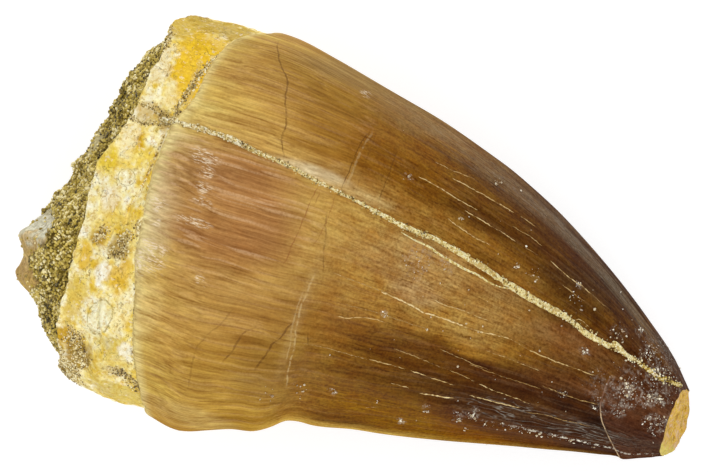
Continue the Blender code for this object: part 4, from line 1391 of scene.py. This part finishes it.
def enamelMaterial():
    c = enamelPaint
    p = Paint("enamel", roughness=c["roughness"], specular=0.0)
    p.shader.inputs["Coat Roughness"].default_value = c["coatRoughness"]
    cosine, sine = p.parts(p.attribute("marks"))[:2]
    # Dust, then the painted glints near the foot and the painted highlight along the rear keel.
    dusty, bright, worn = p.parts(p.attribute("wear"))
    reddish, frontSheen, rearSheen = p.parts(p.attribute("zones"))
    across = p.between(p.fade(sine, -0.02, 0.02), hiddenAcross(p.across), p.across)

    # Fine streaks in the rays of the same cone, coarser towards the point.
    coneAcross, coneUp, radius = (p.line(p.station, crownSettings[part]) for part in coneParts)
    scale = crownSettings["coneScale"] / radius
    bend = (p.cloud((0.15, 0.3, 0.3)) - 0.5) * 0.9
    sideways = (p.across - coneAcross) * scale + bend
    upwards = (p.height - coneUp) * scale + bend

    def strands(along, width, detail, roughness):
        along = along if isinstance(along, Wire) else p.station * along
        return p.noise(p.joined(along, sideways * width, upwards * width), 1.0, detail, roughness)

    streak = strands(p.line(p.station, c["alongStreaks"]), *c["streak"]) - 0.5
    hair, footHair, tipHair = (strands(*c[name]) - 0.5 for name in ("hair", "footHair", "tipHair"))
    hair = p.between(p.fade(p.station, 20, 34), footHair * 1.3, hair)
    hair = p.between(p.fade(p.station, 38, 54), hair, tipHair)
    weave = p.cloud((4.2, 4.0, 4.0), detail=2, roughness=0.6) - 0.5
    amount = p.line(p.station, c["fineAmount"])
    farther = p.fade(p.station, 24, 32)
    fine = (streak * 0.7 + hair * 1.0 + weave * (0.4 + farther * 0.5)) * amount
    colour = p.shaded(p.attribute("paint"), fine, crownColours["darkerIsRedder"])
    patches = p.cloud((0.75, 1.0, 1.0), (0, 0, 55), 0.9, 3, 0.62) - 0.5
    colour = p.shaded(colour, patches * (0.35 + farther * 0.75), c["patchWeights"])
    paleLines = p.fade(strands(*c["flow"]), 0.54, 0.66) * p.fade(weave, -0.15, 0.1, 0.5, 1.0)
    paleLines = paleLines * (0.10 + reddish * 0.35) * p.fade(p.station, 24, 34, 1.0, 0.4)
    colour = p.over(colour, paleLines, c["paleLine"])
    # Painted sheen lines beside the front edge and in the dark band above the rear keel.
    rearSheen = rearSheen * p.fade(p.station, 41, 47) * p.fade(p.station, 56, 61, 0.85, 0.2)
    threads = p.fadeOut(abs(strands(*c["threads"]) - 0.5), 0.0, 0.03)
    colour = p.over(colour, threads * p.most(frontSheen * 0.45, rearSheen) * 0.6, c["sheenLine"])

    # Cracks.
    wobble = (p.noise(p.place, 0.7) - 0.5) * 0.3 + (p.noise(p.place, 3.5, 1) - 0.5) * 0.16
    dashes = p.fade(p.cloud((1.2, 1.6, 1.6), (7, 0, 0), 1.2), 0.40, 0.50, 0.15, 1.0)
    patchy = p.fade(p.noise(p.place, 1.5), 0.36, 0.52, 0.35, 1.0)
    dark, red, pale = (p.cracks(across, p.station, c[name], wobble) for name in ("dark", "red", "worn"))
    colour = p.over(colour, dark * patchy, c["darkCrack"])
    colour = p.over(colour, red * patchy, c["redCrack"])
    colour = p.over(colour, pale * dashes, c["wornLine"])
    pointLine = p.crack(across, p.station, crownSettings["pointCrack"][:-1], 0.08, wobble * 0.3)
    lineColour = p.mix(p.fade(across, -3.8, -4.8), *(tint(code) for code in c["pointCrack"]))
    colour = p.mix(pointLine * patchy * 0.8, colour, lineColour)

    # A film of dust with grit in it, painted glints at the foot, and a painted highlight along the rear keel.
    grit = p.noise(p.place, 5.5, 2, 0.7)
    coarse = p.cloud((1, 1, 1), (0, 30, 0), 1.7, 3, 0.7)
    film = dusty * p.fade(coarse, 0.46, 0.62) * p.fade(grit, 0.40, 0.62, 0.2, 1.0) * 0.6
    speck = p.fadeOut(p.cells(p.place, 3.4) + (coarse - 0.5) * 0.9, 0.12, 0.20) * p.fade(dusty, 0.05, 0.4)
    film = p.most(film, speck * 0.85)
    colour = p.over(colour, film, c["dust"])
    shine = bright * p.fade(p.cloud((1.3, 8.0, 8.0), detail=3, roughness=0.6), 0.50, 0.60)
    colour = p.over(colour, shine * 0.75, c["glint"])
    dashed = p.fade(p.cloud((3.0, 2.5, 2.5), detail=3, roughness=0.75), 0.49, 0.56)
    colour = p.over(colour, worn * dashed * 0.85, c["keelHighlight"])

    p.feed("Base Color", colour)
    facing = sine + 0.65 * p.fade(cosine, 0.0, 0.5)
    p.feed("Coat Weight", p.fade(facing, 0.15, 0.75) * (1.0 - film) * c["coat"])
    p.bump((streak * 0.5 + hair * 0.35 + weave * 0.3) * amount - dark * 0.7 + film * 0.5,
           distance=0.00009, strength=0.9)
    return p.material


brokenPaint = {
    "ground": [(0.34, "#B08020"), (0.43, "#D4A030"), (0.49, "#E8C24C"), (0.55, "#DEA84A"),
               (0.63, "#E6BE8C")],
    "grit": "#EAD9A8",
    "lower": "#E2D46A",
    "stain": "#8A5A20",
}


def brokenMaterial():
    c = brokenPaint
    p = Paint("brokenDentine", roughness=0.75, specular=0.2)
    spots = p.cloud((0.6, 1.0, 1.0), scale=1.4, detail=3, roughness=0.65)
    grit = p.noise(p.place, 5.0, 2, 0.6)
    lower = p.fade(p.across + (spots - 0.5) * 3, -4.9, -6.0)
    stain = p.fade(p.cloud((1, 1, 1), (0, 50, 0), 1.4, 3, 0.6), 0.55, 0.66)
    colour = p.over(p.ramp(spots, c["ground"]), p.fade(grit, 0.56, 0.66, 0.0, 0.7), c["grit"])
    colour = p.over(colour, lower * 0.7, c["lower"])
    colour = p.over(colour, stain * 0.3, c["stain"])
    p.feed("Base Color", colour)
    p.bump(grit + spots, distance=0.0002)
    return p.material


bonePaint = {
    "mottleWeights": (0.6, 0.9, 1.7),
    "ochre": "#C99A2C",
    "chalk": "#FAF4E2",
    "thinLine": "#8A6420",
    "oval": "#A8924C",
    "crack": "#5C4A1C",
    "pore": "#6A5220",
    # Ovals with a brown outline: station, across, half length and half width.
    "ovals": [(9.6, -11.2, 1.1, 1.6), (7.8, 1.7, 0.8, 0.75)],
    # Cracks: strength, half width, then (across, station) points.
    "cracks": [
        (1.00, 0.1, [(-9.6, 8.95), (-10.6, 9.1), (-11.5, 9.2), (-12.4, 9.6)]),
        (0.9, 0.08, [(12.9, 8.25), (11.5, 8.15), (10.2, 8.2), (9.3, 8.3)]),
        (0.6, 0.05, [(-6.2, 9.2), (-7.2, 9.1)]),
        (0.55, 0.05, [(4.9, 7.5), (3.6, 7.7)]),
        (0.45, 0.05, [(-14.3, 9.6), (-14.7, 11), (-14.9, 12.4)]),
    ],
}


def boneMaterial():
    c = bonePaint
    p = Paint("rootBone", roughness=0.72, specular=0.1)
    middle = p.cloud((1.3, 1.0, 1.0), detail=3, roughness=0.6)
    fine = p.noise(p.place, 2.8, 3, 0.65)
    change = (fine - 0.5) * 0.95 + (middle - 0.5) * 0.5
    colour = p.shaded(p.attribute("paint"), change, c["mottleWeights"])
    ochre = p.fade(p.cloud((1.2, 1, 1), (0, 40, 0), 2.6, 3, 0.6), 0.54, 0.63)
    colour = p.over(colour, ochre * 0.5, c["ochre"])
    chalk = p.fade(p.cloud((1, 1, 1), (0, 0, 70), 2.3, 3, 0.6), 0.58, 0.68)
    colour = p.over(colour, chalk * 0.4, c["chalk"])
    # Thin brown lines where a slow noise passes its middle value.
    slow = p.cloud((1, 0.8, 0.8), (90, 0, 0), 0.75, 3, 0.6)
    thinLines = p.fadeOut(abs(slow - 0.5), 0.003, 0.010) * p.fade(middle, 0.44, 0.56)
    colour = p.over(colour, thinLines * 0.55, c["thinLine"])
    for station, across, halfLength, halfWidth in c["ovals"]:
        shape = p.joined((p.station - station) * (1 / halfLength), (p.across - across) * (1 / halfWidth), 0.0)
        reach = p.node("ShaderNodeVectorMath", {"operation": "LENGTH"}, [shape], 1) + (middle - 0.5) * 0.5
        oval = p.fadeOut(abs(reach - 1.0), 0.02, 0.08) * p.fade(fine, 0.40, 0.52) * p.fade(p.height, 8, 12)
        colour = p.over(colour, oval * 0.75, c["oval"])
    lines = p.cracks(p.across, p.station, c["cracks"], (middle - 0.5) * 0.3 + (fine - 0.5) * 0.2)
    colour = p.over(colour, lines * p.fade(fine, 0.36, 0.48, 0.5, 1.0), c["crack"])
    pores = p.fadeOut(p.cells(p.place, 2.4), 0.05, 0.13) * p.fade(middle, 0.50, 0.60)
    p.feed("Base Color", p.over(colour, pores * 0.6, c["pore"]))
    p.feed("Roughness", 0.66 + fine * 0.15)
    p.bump(fine * 0.7 + middle * 0.8 - pores * 0.6 - thinLines * 0.3,
           distance=0.00022, strength=0.9)
    return p.material


def rockMaterial():
    p = Paint("sandstone", roughness=0.85, specular=0.15)
    shade = p.parts(p.cells(p.place, 3.6, "Color"))[0]
    grain = p.noise(p.place, 3.0, 3, 0.65)
    change = (shade - 0.5) * 0.4 + (grain - 0.5) * 1.5
    colour = p.shaded(p.attribute("paint"), change, rockSettings["grainWeights"])
    veined = p.fadeOut(abs(p.cloud((0.8, 1, 1), (0, 0, 30), 0.9, 3, 0.6) - 0.5), 0.004, 0.02)
    p.feed("Base Color", p.over(colour, veined * 0.5, rockSettings["vein"]))
    p.bump(grain, distance=0.00018)
    return p.material


def grainMaterial(name):
    stops, pale = grainColours[name]
    p = Paint(name, roughness=0.5, specular=0.3)
    mottle = p.fade(p.noise(p.place, 6.0, 2), 0.45, 0.75, 0.0, 0.35)
    p.feed("Base Color", p.over(p.ramp(p.attribute("tint", "Fac"), stops), mottle, pale))
    return p.material


veinPaint = {
    "sand": [(0, "#94702C"), (0.12, "#CCAC5C"), (0.35, "#EAD78E"), (0.8, "#FAF0BE"), (1, "#D6CA9C")],
    "nearFoot": [(0, "#5C4216"), (0.16, "#A08848"), (0.35, "#E2D4A0"), (1, "#FBF5DA")],
    "nearPoint": [(0.38, "#3A220E"), (0.46, "#94742A"), (0.56, "#D4B440"), (0.68, "#F0E6BC")],
    "stain": "#C29A44",
}


def veinMaterial():
    c = veinPaint
    p = Paint("veinSand", roughness=0.7, specular=0.2)
    shade = p.parts(p.cells(p.place, 5.5, "Color"))[0]
    sand, nearFoot = p.ramp(shade, c["sand"]), p.ramp(shade, c["nearFoot"])
    colour = p.mix(p.fadeOut(p.station, 16.5, 18.5), sand, nearFoot)
    stain = p.fade(p.noise(p.place, 1.4, 3, 0.6), 0.52, 0.64) * 0.7
    colour = p.over(colour, stain, c["stain"])
    nearPoint = p.ramp(p.noise(p.place, 3.5, 2), c["nearPoint"])
    p.feed("Base Color", p.mix(p.fade(p.station, 56.6, 58.2), colour, nearPoint))
    p.bump(1.0 - p.cells(p.place, 5.5), distance=0.00012)
    return p.material


# Colours from the darkest grain to the palest, and a paler one that mottles them.
grainColours = {
    "rockGrain": ([(0, "#33280A"), (0.12, "#64521A"), (0.28, "#8E7628"), (0.5, "#B49C3C"),
                   (0.7, "#CDB550"), (0.86, "#E0CA70"), (1, "#F8ECB8")], "#E2D28C"),
    "sandGrain": ([(0, "#57421A"), (0.18, "#846828"), (0.4, "#AE9140"), (0.65, "#D8C07C"),
                   (1, "#F6EDC4")], "#ECE2B4"),
    "hairline": ([(0, "#6E4A1A"), (0.35, "#9A7434"), (0.7, "#C8A664"), (1, "#E8D098")], "#EEDCAC"),
    "dustFlake": ([(0, "#A08460"), (0.4, "#CDBB94"), (0.75, "#E6DCC0"), (1, "#FAF4E2")], "#FFFFFF"),
}


# Build and dress.

crown, root, rock = crownPiece(), rootPiece(), rockPiece()
settings = veinSettings
vein = veinPiece("veinSand", crownSettings["veinPath"], settings["halfWidth"],
                 settings["steps"], settings["jog"])
strand = veinPiece("veinStrand", crownSettings["strandPath"], settings["strandHalfWidth"],
                   settings["strandSteps"], settings["noJog"])
veinSand = [veinMaterial()]
dressing = [
    (crown, "fossil_tooth", [enamelMaterial(), brokenMaterial()]),
    (root, "fossil_tooth", [boneMaterial()]),
    (rock, "sandstone_matrix", [rockMaterial()]),
    (vein, "sandstone_matrix", veinSand),
    (strand, "sandstone_matrix", veinSand),
    (rockGrains(), "sandstone_matrix", [grainMaterial("rockGrain")]),
    (looseSand(), "sandstone_matrix", [grainMaterial("sandGrain")]),
    (dustFlakes(), "sandstone_matrix", [grainMaterial("dustFlake")]),
    (hairlines(), "sandstone_matrix", [grainMaterial("hairline")]),
]
for piece, slot, materials in dressing:
    for material in materials:
        piece.data.materials.append(material)
    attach(piece, "root")
    print(piece.name, "made:", len(piece.data.polygons), "faces")
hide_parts("tooth")
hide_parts("tooth")
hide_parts("matrix")


# Floor, light and camera.

stageSettings = {
    "turn": 19,  # degrees that the tooth's long axis is turned in the picture
    "centre": (5.7, 3.4, 12),  # what the camera looks at, in mm from the rest spot
    "distance": 1700,
    "frameWidth": 65.3,  # mm of the tooth's middle plane that the picture spans
    "floor": 0.4,
    "floorGlow": 0.75,
    "world": 0.3,
    # Lights: name, radiance, size in mm, and place from the centre in mm (right, up and towards the camera
    # in the picture).
    "lights": [
        ("overPanel", 0.8, (1500, 1500), (0, 0, 750)),
        ("upperSoft", 1.1, (420, 300), (-140, 330, 420)),
        ("lowerSoft", 1.4, (420, 300), (60, -330, 420)),
        ("upperStrip", 4, (460, 60), (0, 330, 22)),
        ("lowerStrip", 3.5, (460, 60), (0, -330, 22)),
    ],
}


def plainFloor():
    size = 3.0
    mesh = bpy.data.meshes.new("floor")
    corners = [(-size, -size, 0), (size, -size, 0), (size, size, 0), (-size, size, 0)]
    mesh.from_pydata(corners, [], [range(4)])
    floor = bpy.data.objects.new("floor", mesh)
    floor.location.z = -0.00002
    bpy.context.scene.collection.objects.link(floor)
    paint = bpy.data.materials.new("paleFloor")
    paint.use_nodes = True
    inputs = paint.node_tree.nodes["Principled BSDF"].inputs
    inputs["Base Color"].default_value = (stageSettings["floor"],) * 3 + (1.0,)
    inputs["Roughness"].default_value = 0.9
    inputs["Specular IOR Level"].default_value = 0.0
    inputs["Emission Color"].default_value = (1, 1, 1, 1)
    inputs["Emission Strength"].default_value = stageSettings["floorGlow"]
    mesh.materials.append(paint)


def softLight(name, radiance, size, spot, target):
    # A flat light that faces the target. Its power is radiance times area times pi.
    light = bpy.data.lights.new(name, "AREA")
    light.shape = "RECTANGLE"
    light.size, light.size_y = size[0] / 1000, size[1] / 1000
    light.energy = radiance * light.size * light.size_y * math.pi
    lamp = bpy.data.objects.new(name, light)
    back = (spot - target) / np.linalg.norm(spot - target)
    side = np.cross([0, 0, 1], back) if abs(back[2]) < 0.99 else np.array([1.0, 0, 0])
    side /= np.linalg.norm(side)
    lamp.rotation_euler = Matrix(np.stack([side, np.cross(back, side), back], axis=1).tolist()).to_euler()
    lamp.location = spot / 1000
    lamp.visible_camera = False
    bpy.context.scene.collection.objects.link(lamp)


def stage():
    settings = stageSettings
    turn = math.radians(settings["turn"])
    centre = np.array(settings["centre"])
    right = np.array([math.cos(turn), math.sin(turn), 0])
    up = np.array([-math.sin(turn), math.cos(turn), 0])
    plainFloor()
    for name, radiance, size, (x, y, z) in settings["lights"]:
        softLight(name, radiance, size, centre + right * x + up * y + np.array([0, 0, z]), centre)
    world = bpy.data.worlds.new("studio")
    world.use_nodes = True
    world.node_tree.nodes["Background"].inputs["Color"].default_value = (1, 1, 1, 1)
    world.node_tree.nodes["Background"].inputs["Strength"].default_value = settings["world"]
    bpy.context.scene.world = world

    camera = bpy.data.cameras.new("camera")
    camera.sensor_width = 36
    camera.lens = camera.sensor_width * settings["distance"] / settings["frameWidth"]
    camera.clip_start, camera.clip_end = 0.1, 50
    eye = bpy.data.objects.new("camera", camera)
    eye.location = (centre + [0, 0, settings["distance"]]) / 1000
    eye.rotation_euler = (0, 0, turn)
    bpy.context.scene.collection.objects.link(eye)
    bpy.context.scene.camera = eye
    bpy.context.scene.view_settings.view_transform = "Standard"


stage()
print("stage set")
